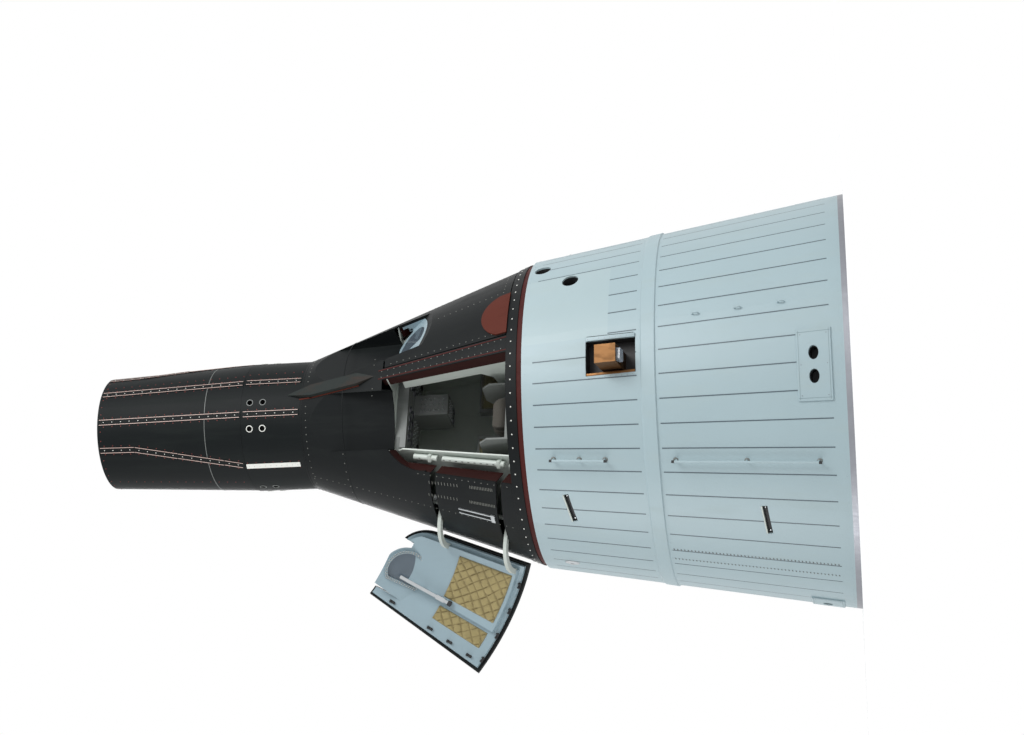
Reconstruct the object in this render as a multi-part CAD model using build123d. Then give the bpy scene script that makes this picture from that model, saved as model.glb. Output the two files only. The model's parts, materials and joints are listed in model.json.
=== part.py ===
from build123d import *
import math
import os

# Two-seat space capsule of the 1960s with its flared adapter, standing on the adapter's base ring.
# Lengths are millimetres, angles are degrees. The origin is the centre of the base ring's lower
# face, +Z runs along the long axis to the nose. The crew's heads and both hatches are on the -Y
# side. A place on the body is given by its angle from -Y (positive towards +X), radius and height.

# Driving dimensions of the adapter
BASE_RADIUS = 1524.0
ADAPTER_HEIGHT = 2286.0
CABIN_BASE_Z = ADAPTER_HEIGHT
ADAPTER_TOP_RADIUS = 1155.0
ADAPTER_WALL = 12.0
BASE_RING_HEIGHT = 40.0
BASE_RING_WIDTH = 44.0
BASE_RING_FLANGE = 12.0
BOLT_COUNT = 20
BOLT_RADIUS = 6.5
BOLT_CIRCLE_INSET = 30.0
BAND_LOW_Z = 1323.0
BAND_HIGH_Z = 1432.0
BAND_PROUD = 9.0

# Driving dimensions of the cabin, the thruster cylinder and the nose
CABIN_RADIUS = 1143.0
CABIN_HALF_ANGLE = 20.0
CABIN_SKIN = 12.0
SHIELD_EDGE = 40.0
AFT_RING_HEIGHT = 84.0
AFT_RING_PROUD = 6.0
CYLINDER_RADIUS = 490.0
CYLINDER_LENGTH = 457.0
NOSE_BACK_RADIUS = 486.0
NOSE_FRONT_RADIUS = 430.0
TOTAL_HEIGHT = 5736.0
NOSE_WALL = 14.0
NOSE_CAP_HEIGHT = 40.0
RINGS_GAP = 0.3

# Hatches, given for the crew's left one at negative angles
HATCH_INNER_ANGLE = -4.0
HATCH_HINGE_ANGLE = -54.0
HATCH_TIP_Z = CABIN_BASE_Z + 1094.0
HATCH_SHOULDER_Z = CABIN_BASE_Z + 874.0
HATCH_GAP = 8.0
HATCH_FORWARD_GAP = 14.0
HATCH_SKIN = 24.0
HATCH_TRAY_DEPTH = 46.0
HATCH_TRAY_INSET = 20.0
HATCH_PAN_DEPTH = 84.0
HATCH_PAN_INSET = 46.0
HATCH_PAN_WALL = 6.0
HATCH_STEP_ANGLE = -21.0
HATCH_OPEN_ANGLE = 176.0
PIVOT_ANGLE = -82.0
PIVOT_SHARE = 0.88
PIVOT_TUBE_RADIUS = 16.0
ARM_HEIGHTS = (CABIN_BASE_Z + 224.0, CABIN_BASE_Z + 734.0)
ARM_THICKNESS = 26.0
ARM_WIDTH = 40.0
SLOT_GAP = 9.0

# Window trough ahead of each hatch
TROUGH_ANGLE = -27.0
TROUGH_FRONT_Z = CABIN_BASE_Z + 1704.0
TROUGH_FLOOR_RADIUS = 560.0
TROUGH_HALF_WIDTH = 215.0
TROUGH_WALL = 8.0
WINDOW_BACK_Z = CABIN_BASE_Z + 754.0
WINDOW_FRAME = 10.0
WINDOW_RADIUS = 140.0
WINDOW_FLAT = 85.0
WINDOW_PLACE = -228.0
WINDOW_RING_WIDTH = 24.0
WINDOW_RING_HEIGHT = 18.0
WINDOW_INSET = 100.0
WINDOW_TIP_INSET = 40.0
WINDOW_DEPTH = 260.0
WINDOW_CORNER = 182.0

# Pressure cabin inside the skin, as shares of the skin's radius at the same height
TUB_ROUND_SHARE = 0.86
TUB_SIDE_SHARE = 0.62
TUB_FLOOR_SHARE = 0.50
TUB_WALL = 8.0
TUB_AFT_Z = CABIN_BASE_Z + 114.0
TUB_FORWARD_Z = CABIN_BASE_Z + 1064.0
BULKHEAD = 10.0
COAMING = 10.0

TAN_CABIN = math.tan(math.radians(CABIN_HALF_ANGLE))
SHIELD_TOP_Z = CABIN_BASE_Z + SHIELD_EDGE
SKIN_BASE_Z = SHIELD_TOP_Z + AFT_RING_HEIGHT
HATCH_AFT_Z = SKIN_BASE_Z + HATCH_GAP
APEX_Z = CABIN_BASE_Z + CABIN_RADIUS / TAN_CABIN
CYLINDER_BASE_Z = APEX_Z - CYLINDER_RADIUS / TAN_CABIN
NOSE_BASE_Z = CYLINDER_BASE_Z + CYLINDER_LENGTH
ADAPTER_HALF_ANGLE = math.degrees(math.atan((BASE_RADIUS - ADAPTER_TOP_RADIUS) / ADAPTER_HEIGHT))
NOSE_TOP_Z = TOTAL_HEIGHT - NOSE_CAP_HEIGHT
HATCH_REACH = (APEX_Z - HATCH_TIP_Z) / math.cos(math.radians(CABIN_HALF_ANGLE))
OPENING_REACH = HATCH_REACH - HATCH_FORWARD_GAP / math.cos(math.radians(CABIN_HALF_ANGLE))
NOSE_HALF_ANGLE = math.degrees(math.atan((NOSE_BACK_RADIUS - NOSE_FRONT_RADIUS) / (NOSE_TOP_Z - NOSE_BASE_Z)))


def adapter_radius(z):
    """Outer radius of the adapter's skin at a height."""
    return BASE_RADIUS + (ADAPTER_TOP_RADIUS - BASE_RADIUS) * z / ADAPTER_HEIGHT


def cabin_radius(z):
    """Outer radius of the cabin's cone at a height."""
    return (APEX_Z - z) * TAN_CABIN


def nose_radius(z):
    """Outer radius of the nose section at a height."""
    share = (z - NOSE_BASE_Z) / (NOSE_TOP_Z - NOSE_BASE_Z)
    return NOSE_BACK_RADIUS + (NOSE_FRONT_RADIUS - NOSE_BACK_RADIUS) * share


def spot(angle, radius, z):
    """Point at an angle from -Y, a radius from the axis and a height."""
    turn = math.radians(angle)
    return Vector(radius * math.sin(turn), -radius * math.cos(turn), z)


def meridian_plane(angle):
    """Plane through the long axis, local x outwards and local y up."""
    turn = math.radians(angle)
    return Plane(origin=(0, 0, 0), x_dir=(math.sin(turn), -math.cos(turn), 0),
                 z_dir=(-math.cos(turn), -math.sin(turn), 0))


def skin_plane(angle, radius, z, half_angle, lift=0.0):
    """Plane on a cone's skin, local x round the body, y up the skin, z outwards."""
    turn = math.radians(angle)
    tilt = math.radians(half_angle)
    outward = Vector(math.sin(turn) * math.cos(tilt), -math.cos(turn) * math.cos(tilt), math.sin(tilt))
    return Plane(origin=spot(angle, radius, z) + outward * lift,
                 x_dir=(math.cos(turn), math.sin(turn), 0), z_dir=outward)


def turned(profile, start=0.0, arc=360.0):
    """Solid of revolution of a closed (radius, height) profile, from an angle round an arc."""
    face = meridian_plane(start) * make_face(Polyline(*profile, close=True))
    return revolve(face, Axis.Z, arc)


def shell_ring(z0, r0, z1, r1, wall):
    """Conical wall between two heights, given by its outer radii."""
    return turned([(r0, z0), (r1, z1), (r1 - wall, z1), (r0 - wall, z0)])


def dome(radius, rise, z, way):
    """Shallow spherical cap on a level circle, rising up for way 1 or down for way -1."""
    ball_radius = (radius ** 2 + rise ** 2) / (2 * rise)
    ball = Pos(0, 0, z + way * (rise - ball_radius)) * Sphere(ball_radius)
    return ball & (Pos(0, 0, z + way * rise / 2) * Cylinder(radius, rise))


def mirrored(shape):
    return mirror(shape, about=Plane.YZ)


def save(shape, name):
    shape.label = name
    export_step(shape, "parts/" + name + ".step")


def cabin_shell(share, z0, z1, wall, start=0.0, arc=360.0):
    """Conical wall at a share of the skin's radius, scaled about the cone's apex."""
    r0 = cabin_radius(z0) * share
    r1 = cabin_radius(z1) * share
    return turned([(r0, z0), (r1, z1), (r1 - wall, z1), (r0 - wall, z0)], start, arc)


def cabin_core(share, z0, z1):
    """Solid cone frustum at a share of the skin's radius."""
    return turned([(0, z0), (cabin_radius(z0) * share, z0), (cabin_radius(z1) * share, z1), (0, z1)])


def hatch_cutter(gap, forward_gap, inner=0.0, core=200.0):
    """Block that holds the left hatch's outline from deep inside to far outside.

    gap widens it on the sides, forward_gap at the rounded forward edge, and inner narrows it."""
    grow = gap - inner
    ahead = forward_gap - inner
    middle_z = (HATCH_AFT_Z + HATCH_TIP_Z) / 2
    spread = math.degrees(grow / cabin_radius(middle_z))
    angle_a = HATCH_HINGE_ANGLE - spread
    angle_b = HATCH_INNER_ANGLE + spread
    low = HATCH_AFT_Z - grow
    high = HATCH_TIP_Z + ahead
    block = turned([(core, low), (1500, low), (1500, high), (core, high)], angle_a, angle_b - angle_a)
    middle_angle = (HATCH_INNER_ANGLE + HATCH_HINGE_ANGLE) / 2
    plane = skin_plane(middle_angle, cabin_radius(middle_z), middle_z, CABIN_HALF_ANGLE)
    half = math.radians((HATCH_INNER_ANGLE - HATCH_HINGE_ANGLE) / 2)
    shoulder_x = -cabin_radius(HATCH_SHOULDER_Z) * math.sin(half) - grow
    shoulder_y = (HATCH_SHOULDER_Z - middle_z) / math.cos(math.radians(CABIN_HALF_ANGLE))
    tip_y = (HATCH_TIP_Z - middle_z) / math.cos(math.radians(CABIN_HALF_ANGLE)) + ahead
    tip_x = -cabin_radius(HATCH_TIP_Z) * math.sin(half) * 0.37
    belly = Vector((shoulder_x * 0.62 + tip_x * 0.38), (shoulder_y * 0.30 + tip_y * 0.70), 0)
    arc = ThreePointArc((shoulder_x, shoulder_y), belly, (tip_x, tip_y))
    edge = Polyline((tip_x, tip_y), (tip_x, tip_y + 400), (shoulder_x - 500, tip_y + 400),
                    (shoulder_x - 500, shoulder_y - 60), (shoulder_x, shoulder_y - 60),
                    (shoulder_x, shoulder_y))
    corner = plane * extrude(make_face(arc + edge), amount=700, both=True)
    return block - corner


def apex_ball(reach):
    """Ball about the cone's apex. Turning about a hinge line keeps each point at its own reach."""
    return Pos(0, 0, APEX_Z) * Sphere(reach)


def trough_plane():
    """Plane of the trough's floor, local x round the body, y forward, z outwards."""
    start = spot(TROUGH_ANGLE, TROUGH_FLOOR_RADIUS, HATCH_TIP_Z)
    end = spot(TROUGH_ANGLE, cabin_radius(TROUGH_FRONT_Z), TROUGH_FRONT_Z)
    turn = math.radians(TROUGH_ANGLE)
    across = Vector(math.cos(turn), math.sin(turn), 0)
    ahead = (end - start).normalized()
    return Plane(origin=start, x_dir=across, z_dir=across.cross(ahead))


def window_plane():
    """Plane of the hatch's window, from the trough's floor back and out to the skin."""
    start = spot(TROUGH_ANGLE, TROUGH_FLOOR_RADIUS, HATCH_TIP_Z)
    end = spot(TROUGH_ANGLE, cabin_radius(WINDOW_BACK_Z), WINDOW_BACK_Z)
    turn = math.radians(TROUGH_ANGLE)
    across = Vector(math.cos(turn), math.sin(turn), 0)
    back = (end - start).normalized()
    return Plane(origin=start, x_dir=across, z_dir=across.cross(back * -1))


def trough_cutter(grow=0.0):
    """Block of air over the trough's floor, ahead of the window."""
    block = Box(2 * (TROUGH_HALF_WIDTH + grow), 900, 500, align=(Align.CENTER, Align.MIN, Align.MIN))
    return trough_plane() * (Pos(0, -60 - grow, -grow) * block)


def window_cutter(grow=0.0):
    """Block of air over the window's plane, behind the trough."""
    block = Box(2 * (TROUGH_HALF_WIDTH + grow), 900, 500, align=(Align.CENTER, Align.MAX, Align.MIN))
    return window_plane() * (Pos(0, 40 + grow, -grow) * block)


def pivot_axis():
    """The left hatch's hinge line, which runs through the cone's apex."""
    foot = spot(PIVOT_ANGLE, cabin_radius(HATCH_AFT_Z) * PIVOT_SHARE, HATCH_AFT_Z)
    apex = Vector(0, 0, APEX_Z)
    return Axis(foot, apex - foot)


def pivot_plane(z):
    """Plane square to the hinge line: local x towards the hatch, local y outwards."""
    axis = pivot_axis()
    foot = spot(PIVOT_ANGLE, cabin_radius(z) * PIVOT_SHARE, z)
    turn = math.radians(PIVOT_ANGLE)
    across = Vector(math.cos(turn), math.sin(turn), 0)
    return Plane(origin=foot, x_dir=across, z_dir=axis.direction * -1)


def opened(shape):
    """The left hatch's pieces turned from closed to the open place."""
    return shape.rotate(pivot_axis(), -HATCH_OPEN_ANGLE)


os.makedirs("parts", exist_ok=True)

# Base ring, the launch vehicle's interface, with its bolt circle
base_ring = turned([(BASE_RADIUS, 0), (adapter_radius(BASE_RING_HEIGHT), BASE_RING_HEIGHT),
                    (adapter_radius(BASE_RING_HEIGHT) - ADAPTER_WALL, BASE_RING_HEIGHT),
                    (BASE_RADIUS - ADAPTER_WALL - 4, BASE_RING_FLANGE),
                    (BASE_RADIUS - BASE_RING_WIDTH, BASE_RING_FLANGE),
                    (BASE_RADIUS - BASE_RING_WIDTH, 0)])
for index in range(BOLT_COUNT):
    place = spot(index * 360 / BOLT_COUNT, BASE_RADIUS - BOLT_CIRCLE_INSET, BASE_RING_FLANGE / 2)
    base_ring -= Pos(*place) * Cylinder(BOLT_RADIUS, 2 * BASE_RING_FLANGE)
save(base_ring, "base_ring")

# Adapter walls and the raised band over their joint, with the openings cut through them
def adapter_plane(angle, z, lift=0.0):
    return skin_plane(angle, adapter_radius(z), z, ADAPTER_HALF_ANGLE, lift)


def adapter_patch(angle_a, angle_b, z0, z1, proud, bevel=6.0):
    """Raised patch that follows the adapter's skin between two angles and two heights."""
    return turned([(adapter_radius(z0), z0), (adapter_radius(z0 + bevel) + proud, z0 + bevel),
                   (adapter_radius(z1 - bevel) + proud, z1 - bevel), (adapter_radius(z1), z1)],
                  angle_a, angle_b - angle_a)


adapter_solid = turned([(0, 0), (BASE_RADIUS, 0), (ADAPTER_TOP_RADIUS, ADAPTER_HEIGHT), (0, ADAPTER_HEIGHT)])
adapter_inside = turned([(0, 0), (BASE_RADIUS - ADAPTER_WALL, 0),
                         (ADAPTER_TOP_RADIUS - ADAPTER_WALL, ADAPTER_HEIGHT), (0, ADAPTER_HEIGHT)])

# Side thrusters in four raised panels: angle of each hole from its panel's middle
PANEL_ANGLES = (-18.5, 71.5, 161.5, -108.5)
PANEL_HALF_ARC = 9.5
PANEL_LOW_Z = 123.0
PANEL_HIGH_Z = 361.0
PANEL_PROUD = 10.0
NOZZLE_Z = 245.0
NOZZLE_OFFSET = 3.1
NOZZLE_HALF_HEIGHT = 35.0
NOZZLE_HALF_WIDTH = 49.0
NOZZLE_DEPTH = 90.0
NOZZLE_WALL = 5.0
# Forward thrusters, each pair repeated on the far side: angle, height
FORWARD_THRUSTERS = ((35.9, 2189.0), (23.8, 1960.0), (-144.1, 2189.0), (-156.2, 1960.0))
FORWARD_RADIUS = 61.0

panels = adapter_patch(PANEL_ANGLES[0] - PANEL_HALF_ARC, PANEL_ANGLES[0] + PANEL_HALF_ARC,
                       PANEL_LOW_Z, PANEL_HIGH_Z, PANEL_PROUD)
for angle in PANEL_ANGLES[1:]:
    panels += adapter_patch(angle - PANEL_HALF_ARC, angle + PANEL_HALF_ARC,
                            PANEL_LOW_Z, PANEL_HIGH_Z, PANEL_PROUD)
nozzles = []
nozzle_holes = []
for angle in PANEL_ANGLES:
    for way in (-1, 1):
        place = adapter_plane(angle + way * NOZZLE_OFFSET, NOZZLE_Z)
        outline = Ellipse(NOZZLE_HALF_WIDTH, NOZZLE_HALF_HEIGHT)
        nozzle_holes.append(place * extrude(outline, amount=40, both=True))
        cup = Ellipse(NOZZLE_HALF_WIDTH, NOZZLE_HALF_HEIGHT)
        bore = Ellipse(NOZZLE_HALF_WIDTH - NOZZLE_WALL, NOZZLE_HALF_HEIGHT - NOZZLE_WALL)
        body = extrude(cup, amount=-NOZZLE_DEPTH) - extrude(bore, amount=NOZZLE_WALL - NOZZLE_DEPTH)
        nozzles.append(place * body)
for angle, z in FORWARD_THRUSTERS:
    place = adapter_plane(angle, z)
    nozzle_holes.append(place * Cylinder(FORWARD_RADIUS, 80))
    body = extrude(Circle(FORWARD_RADIUS), amount=-NOZZLE_DEPTH)
    body -= extrude(Circle(FORWARD_RADIUS - NOZZLE_WALL), amount=NOZZLE_WALL - NOZZLE_DEPTH)
    nozzles.append(place * body)

# Horizon sensor window and the slanted light recesses: angle, height, tilt
SENSOR_ANGLE_A = -16.5
SENSOR_ANGLE_B = -4.9
SENSOR_LOW_Z = 1462.0
SENSOR_HIGH_Z = 1822.0
SENSOR_DEPTH = 110.0
RECESS_PLACES = ((-62.2, 2000.0, -11.0), (-62.1, 619.0, -6.8))
RECESS_LENGTH = 236.0
RECESS_WIDTH = 46.0
RECESS_DEPTH = 45.0
RECESS_WALL = 5.0


def sensor_block(grow, depth, lift):
    """Block through the sensor's window, from a depth under the skin to a lift over it."""
    middle_z = (SENSOR_LOW_Z + SENSOR_HIGH_Z) / 2
    middle = (SENSOR_ANGLE_A + SENSOR_ANGLE_B) / 2
    width = math.radians(SENSOR_ANGLE_B - SENSOR_ANGLE_A) * adapter_radius(middle_z)
    block = Box(width + 2 * grow, SENSOR_HIGH_Z - SENSOR_LOW_Z + 2 * grow, depth + lift,
                align=(Align.CENTER, Align.CENTER, Align.MIN))
    return adapter_plane(middle, middle_z) * (Pos(0, 0, -depth) * block)


def recess_block(place, grow, depth, lift):
    angle, z, tilt = place
    block = Box(RECESS_LENGTH + 2 * grow, RECESS_WIDTH + 2 * grow, depth + lift,
                align=(Align.CENTER, Align.CENTER, Align.MIN))
    return adapter_plane(angle, z) * (Rotation(0, 0, -tilt) * (Pos(0, 0, -depth) * block))


cutters = list(nozzle_holes)
cutters.append(sensor_block(0, 200, 60))
recesses = []
for place in RECESS_PLACES:
    air = recess_block(place, 0, RECESS_DEPTH - RECESS_WALL, 60)
    body = (recess_block(place, RECESS_WALL, RECESS_DEPTH, 0) - air) & adapter_inside
    for shape in (body, mirrored(body)):
        recesses.append(shape)
    cutters.append(air)
    cutters.append(mirrored(air))
equipment_section = shell_ring(BASE_RING_HEIGHT, adapter_radius(BASE_RING_HEIGHT),
                               BAND_LOW_Z, adapter_radius(BAND_LOW_Z), ADAPTER_WALL)
retro_section = shell_ring(BAND_HIGH_Z, adapter_radius(BAND_HIGH_Z),
                           ADAPTER_HEIGHT, ADAPTER_TOP_RADIUS, ADAPTER_WALL)
for cutter in cutters:
    if cutter.bounding_box().min.Z < BAND_LOW_Z:
        equipment_section -= cutter
    else:
        retro_section -= cutter
for hole in nozzle_holes[:8]:
    panels -= hole
save(equipment_section, "equipment_section")
save(retro_section, "retro_section")
save(panels, "thruster_panels")
nozzle_set = nozzles[0] & adapter_inside
for nozzle in nozzles[1:]:
    nozzle_set += nozzle & adapter_inside
save(nozzle_set, "adapter_thrusters")
recess_set = recesses[0]
for body in recesses[1:]:
    recess_set += body
save(recess_set, "light_recesses")
band = turned([(adapter_radius(BAND_LOW_Z), BAND_LOW_Z),
               (adapter_radius(BAND_LOW_Z) + BAND_PROUD, BAND_LOW_Z + BAND_PROUD),
               (adapter_radius(BAND_HIGH_Z) + BAND_PROUD, BAND_HIGH_Z - BAND_PROUD),
               (adapter_radius(BAND_HIGH_Z), BAND_HIGH_Z),
               (adapter_radius(BAND_HIGH_Z) - ADAPTER_WALL, BAND_HIGH_Z),
               (adapter_radius(BAND_LOW_Z) - ADAPTER_WALL, BAND_LOW_Z)])
save(band, "separation_band")

# Horizon sensor: a dark well in the wall with the copper-coloured head standing out of it
sensor_well = (sensor_block(6, SENSOR_DEPTH, 0) - sensor_block(0, SENSOR_DEPTH - 6, 60)) & adapter_inside
save(sensor_well, "sensor_well")
HEAD_ANGLE = -11.9
HEAD_Z = 1634.0
HEAD_WIDTH = 132.0
HEAD_HEIGHT = 150.0
HEAD_LIFT = 165.0
LENS_RADIUS = 42.0
head_plane = adapter_plane(HEAD_ANGLE, HEAD_Z)
head_low = 6 - SENSOR_DEPTH
head = Pos(0, 0, head_low) * Box(HEAD_WIDTH, HEAD_HEIGHT, HEAD_LIFT - head_low,
                                 align=(Align.CENTER, Align.CENTER, Align.MIN))
lens_seat = Pos(0, -HEAD_HEIGHT / 2 + 15, HEAD_LIFT - 75)
head -= lens_seat * (Pos(0, -10, 0) * Box(HEAD_WIDTH - 18, 22, 118))
save(head_plane * head - sensor_well, "sensor_head")
lens = lens_seat * (Pos(0, 20 - LENS_RADIUS, 0) * Sphere(LENS_RADIUS + 14))
lens = lens & (lens_seat * (Pos(0, -19, 0) * Box(2 * LENS_RADIUS, 40, 2 * LENS_RADIUS)))
save(head_plane * lens - head_plane * head, "sensor_lens")

# Guide loops in a row up the adapter
LOOP_HEIGHTS = (451.0, 746.0, 1039.0)
loops = None
for z in LOOP_HEIGHTS:
    loop = adapter_plane(0, z) * (Rotation(0, 90, 0) * Torus(24, 4.5)) - adapter_solid
    loops = loop if loops is None else loops + loop
save(loops, "guide_loops")

# Foil curtain, a tent of gores from the base ring up to a hub on the axis
CURTAIN_GORES = 20
CURTAIN_RIM_Z = 60.0
CURTAIN_RIM_RADIUS = adapter_radius(CURTAIN_RIM_Z) - ADAPTER_WALL - RINGS_GAP
CURTAIN_HUB_RADIUS = 90.0
CURTAIN_HUB_Z = 1420.0
CURTAIN_WALL = 6.0


def gore_polygon(radius, z):
    return Pos(0, 0, z) * RegularPolygon(radius, CURTAIN_GORES)


curtain_outer = loft([gore_polygon(CURTAIN_RIM_RADIUS, CURTAIN_RIM_Z),
                      gore_polygon(CURTAIN_HUB_RADIUS, CURTAIN_HUB_Z)], ruled=True)
curtain_inner = Pos(0, 0, -CURTAIN_WALL) * loft([gore_polygon(CURTAIN_RIM_RADIUS, CURTAIN_RIM_Z),
                                                 gore_polygon(CURTAIN_HUB_RADIUS, CURTAIN_HUB_Z)],
                                                ruled=True)
curtain = curtain_outer - curtain_inner
CURTAIN_BOX_ANGLE = 125.0
CURTAIN_BOX_Z = 538.0
CURTAIN_BOX = (190.0, 330.0, 150.0)
CURTAIN_PORT_ANGLE = 127.7
CURTAIN_PORT_Z = 169.0
CURTAIN_PORT_RADIUS = 68.0
curtain_half_angle = math.degrees(math.atan((CURTAIN_RIM_RADIUS - CURTAIN_HUB_RADIUS)
                                            / (CURTAIN_HUB_Z - CURTAIN_RIM_Z)))


def curtain_plane(angle, z):
    """Plane on the curtain's inner side, local z inwards and down."""
    radius = CURTAIN_RIM_RADIUS + (CURTAIN_HUB_RADIUS - CURTAIN_RIM_RADIUS) * (z - CURTAIN_RIM_Z) / (
        CURTAIN_HUB_Z - CURTAIN_RIM_Z)
    outward = skin_plane(angle, radius, z, curtain_half_angle)
    return Plane(origin=outward.origin, x_dir=outward.x_dir, z_dir=outward.z_dir * -1)


curtain_box = curtain_plane(CURTAIN_BOX_ANGLE, CURTAIN_BOX_Z) * (Pos(0, 0, 20) * Box(*CURTAIN_BOX))
curtain_port = curtain_plane(CURTAIN_PORT_ANGLE, CURTAIN_PORT_Z) * Cylinder(CURTAIN_PORT_RADIUS, 60)
curtain -= curtain_port
curtain -= curtain_box
save(curtain_box, "equipment_box")
port_ring = curtain_port - curtain_plane(CURTAIN_PORT_ANGLE, CURTAIN_PORT_Z) * (
    Pos(0, 0, 8) * Cylinder(CURTAIN_PORT_RADIUS - 6, 60))
save(port_ring, "curtain_port")
save(curtain, "foil_curtain")

# Heat shield, whose edge shows between the adapter and the cabin
SHIELD_RISE = 188.0
shield_low = CABIN_BASE_Z + RINGS_GAP
shield_radius = ADAPTER_TOP_RADIUS - ADAPTER_WALL - 2
heat_shield = turned([(0, SHIELD_TOP_Z), (cabin_radius(SHIELD_TOP_Z), SHIELD_TOP_Z),
                      (CABIN_RADIUS, shield_low), (0, shield_low)])
heat_shield += dome(shield_radius, SHIELD_RISE, shield_low, -1)
save(heat_shield, "heat_shield")

# Cabin skin with the two hatch openings, hinge arm slots and window troughs
def arm_slot(arm_z):
    """Air round one hinge arm as it swings through the skin."""
    reach = cabin_radius(arm_z)
    width = ARM_THICKNESS + 2 * SLOT_GAP
    slot = Box(reach * 0.66, reach * 0.42, width, align=(Align.MIN, Align.CENTER, Align.CENTER))
    return pivot_plane(arm_z) * (Pos(-reach * 0.14, -reach * 0.01, 0) * slot)


cabin_skin = cabin_shell(1.0, SKIN_BASE_Z, CYLINDER_BASE_Z, CABIN_SKIN)
left_cuts = [hatch_cutter(HATCH_GAP, HATCH_FORWARD_GAP), trough_cutter()]
left_cuts += [arm_slot(arm_z) for arm_z in ARM_HEIGHTS]
for cut in left_cuts:
    cabin_skin -= cut
    cabin_skin -= mirrored(cut)
save(cabin_skin, "cabin_skin")
aft_ring = turned([(cabin_radius(SHIELD_TOP_Z), SHIELD_TOP_Z),
                   (cabin_radius(SHIELD_TOP_Z) + AFT_RING_PROUD, SHIELD_TOP_Z + 2),
                   (cabin_radius(SKIN_BASE_Z) + AFT_RING_PROUD, SKIN_BASE_Z - 2),
                   (cabin_radius(SKIN_BASE_Z), SKIN_BASE_Z),
                   (cabin_radius(SKIN_BASE_Z) - 30, SKIN_BASE_Z),
                   (cabin_radius(SHIELD_TOP_Z) - 30, SHIELD_TOP_Z)])
save(aft_ring, "cabin_aft_ring")

# Body of air inside the skin, which trims what seats against it
skin_inside = turned([(0, SKIN_BASE_Z), (cabin_radius(SKIN_BASE_Z) - CABIN_SKIN, SKIN_BASE_Z),
                      (cabin_radius(CYLINDER_BASE_Z) - CABIN_SKIN, CYLINDER_BASE_Z), (0, CYLINDER_BASE_Z)])

# Trough floors and side walls
left_trough = (skin_inside & trough_cutter(TROUGH_WALL)) - trough_cutter()
left_trough &= apex_ball(OPENING_REACH)
save(left_trough + mirrored(left_trough), "window_troughs")

# Bulkheads that carry the pressure cabin
aft_bulkhead = turned([(0, TUB_AFT_Z - BULKHEAD), (cabin_radius(TUB_AFT_Z) - 33, TUB_AFT_Z - BULKHEAD),
                       (cabin_radius(TUB_AFT_Z) - 33, TUB_AFT_Z), (0, TUB_AFT_Z)])
save(aft_bulkhead, "aft_bulkhead")
forward_bulkhead = skin_inside & (Pos(0, 0, TUB_FORWARD_Z + BULKHEAD / 2) * Cylinder(1500, BULKHEAD))
front_core = 530.0
front_cut = hatch_cutter(HATCH_GAP, HATCH_FORWARD_GAP, 0, front_core)
for cut in (front_cut, trough_cutter(TROUGH_WALL)):
    forward_bulkhead -= cut
    forward_bulkhead -= mirrored(cut)
save(forward_bulkhead, "forward_bulkhead")


# Pressure cabin: a tapered tub with flat sides and floor, open at the hatches
def tub_section(z, inset):
    radius = cabin_radius(z)
    across = 2 * (radius * TUB_SIDE_SHARE - inset)
    depth = radius * (TUB_ROUND_SHARE + TUB_FLOOR_SHARE)
    block = Pos(0, radius * (TUB_FLOOR_SHARE - TUB_ROUND_SHARE) / 2, 0) * Rectangle(across, depth - 2 * inset)
    return Pos(0, 0, z) * (Circle(radius * TUB_ROUND_SHARE - inset) & block)


tub = loft([tub_section(TUB_AFT_Z, 0), tub_section(TUB_FORWARD_Z, 0)], ruled=True)
tub -= loft([tub_section(TUB_AFT_Z + TUB_WALL, TUB_WALL), tub_section(TUB_FORWARD_Z - TUB_WALL, TUB_WALL)],
            ruled=True)
rim_share = math.sqrt(TUB_ROUND_SHARE ** 2 - TUB_SIDE_SHARE ** 2)
rim_low = cabin_radius(TUB_AFT_Z) * rim_share
rim_high = cabin_radius(TUB_FORWARD_Z) * rim_share
lid = extrude(Plane.YZ * Polygon((-1500, TUB_AFT_Z - 50), (-rim_low, TUB_AFT_Z - 50), (-rim_low, TUB_AFT_Z),
                                 (-rim_high, TUB_FORWARD_Z), (-rim_high, TUB_FORWARD_Z + 50),
                                 (-1500, TUB_FORWARD_Z + 50), align=None), amount=1500, both=True)
tub -= lid
TUB_CLEARANCE = 9.0
for front_air in (window_cutter(WINDOW_FRAME + TUB_CLEARANCE), trough_cutter(TROUGH_WALL + TUB_CLEARANCE)):
    tub -= front_air
    tub -= mirrored(front_air)
save(tub, "cabin_tub")

# Coamings from the skin down to the tub round each hatch opening
coaming = hatch_cutter(HATCH_GAP + COAMING, HATCH_FORWARD_GAP) - hatch_cutter(HATCH_GAP, HATCH_FORWARD_GAP)
coaming = coaming & skin_inside
coaming -= cabin_core(TUB_ROUND_SHARE, SKIN_BASE_Z - 50, CYLINDER_BASE_Z)
for arm_z in ARM_HEIGHTS:
    coaming -= arm_slot(arm_z)
coaming -= trough_cutter(TROUGH_WALL)
coaming -= forward_bulkhead
save(coaming + mirrored(coaming), "hatch_coamings")

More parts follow.
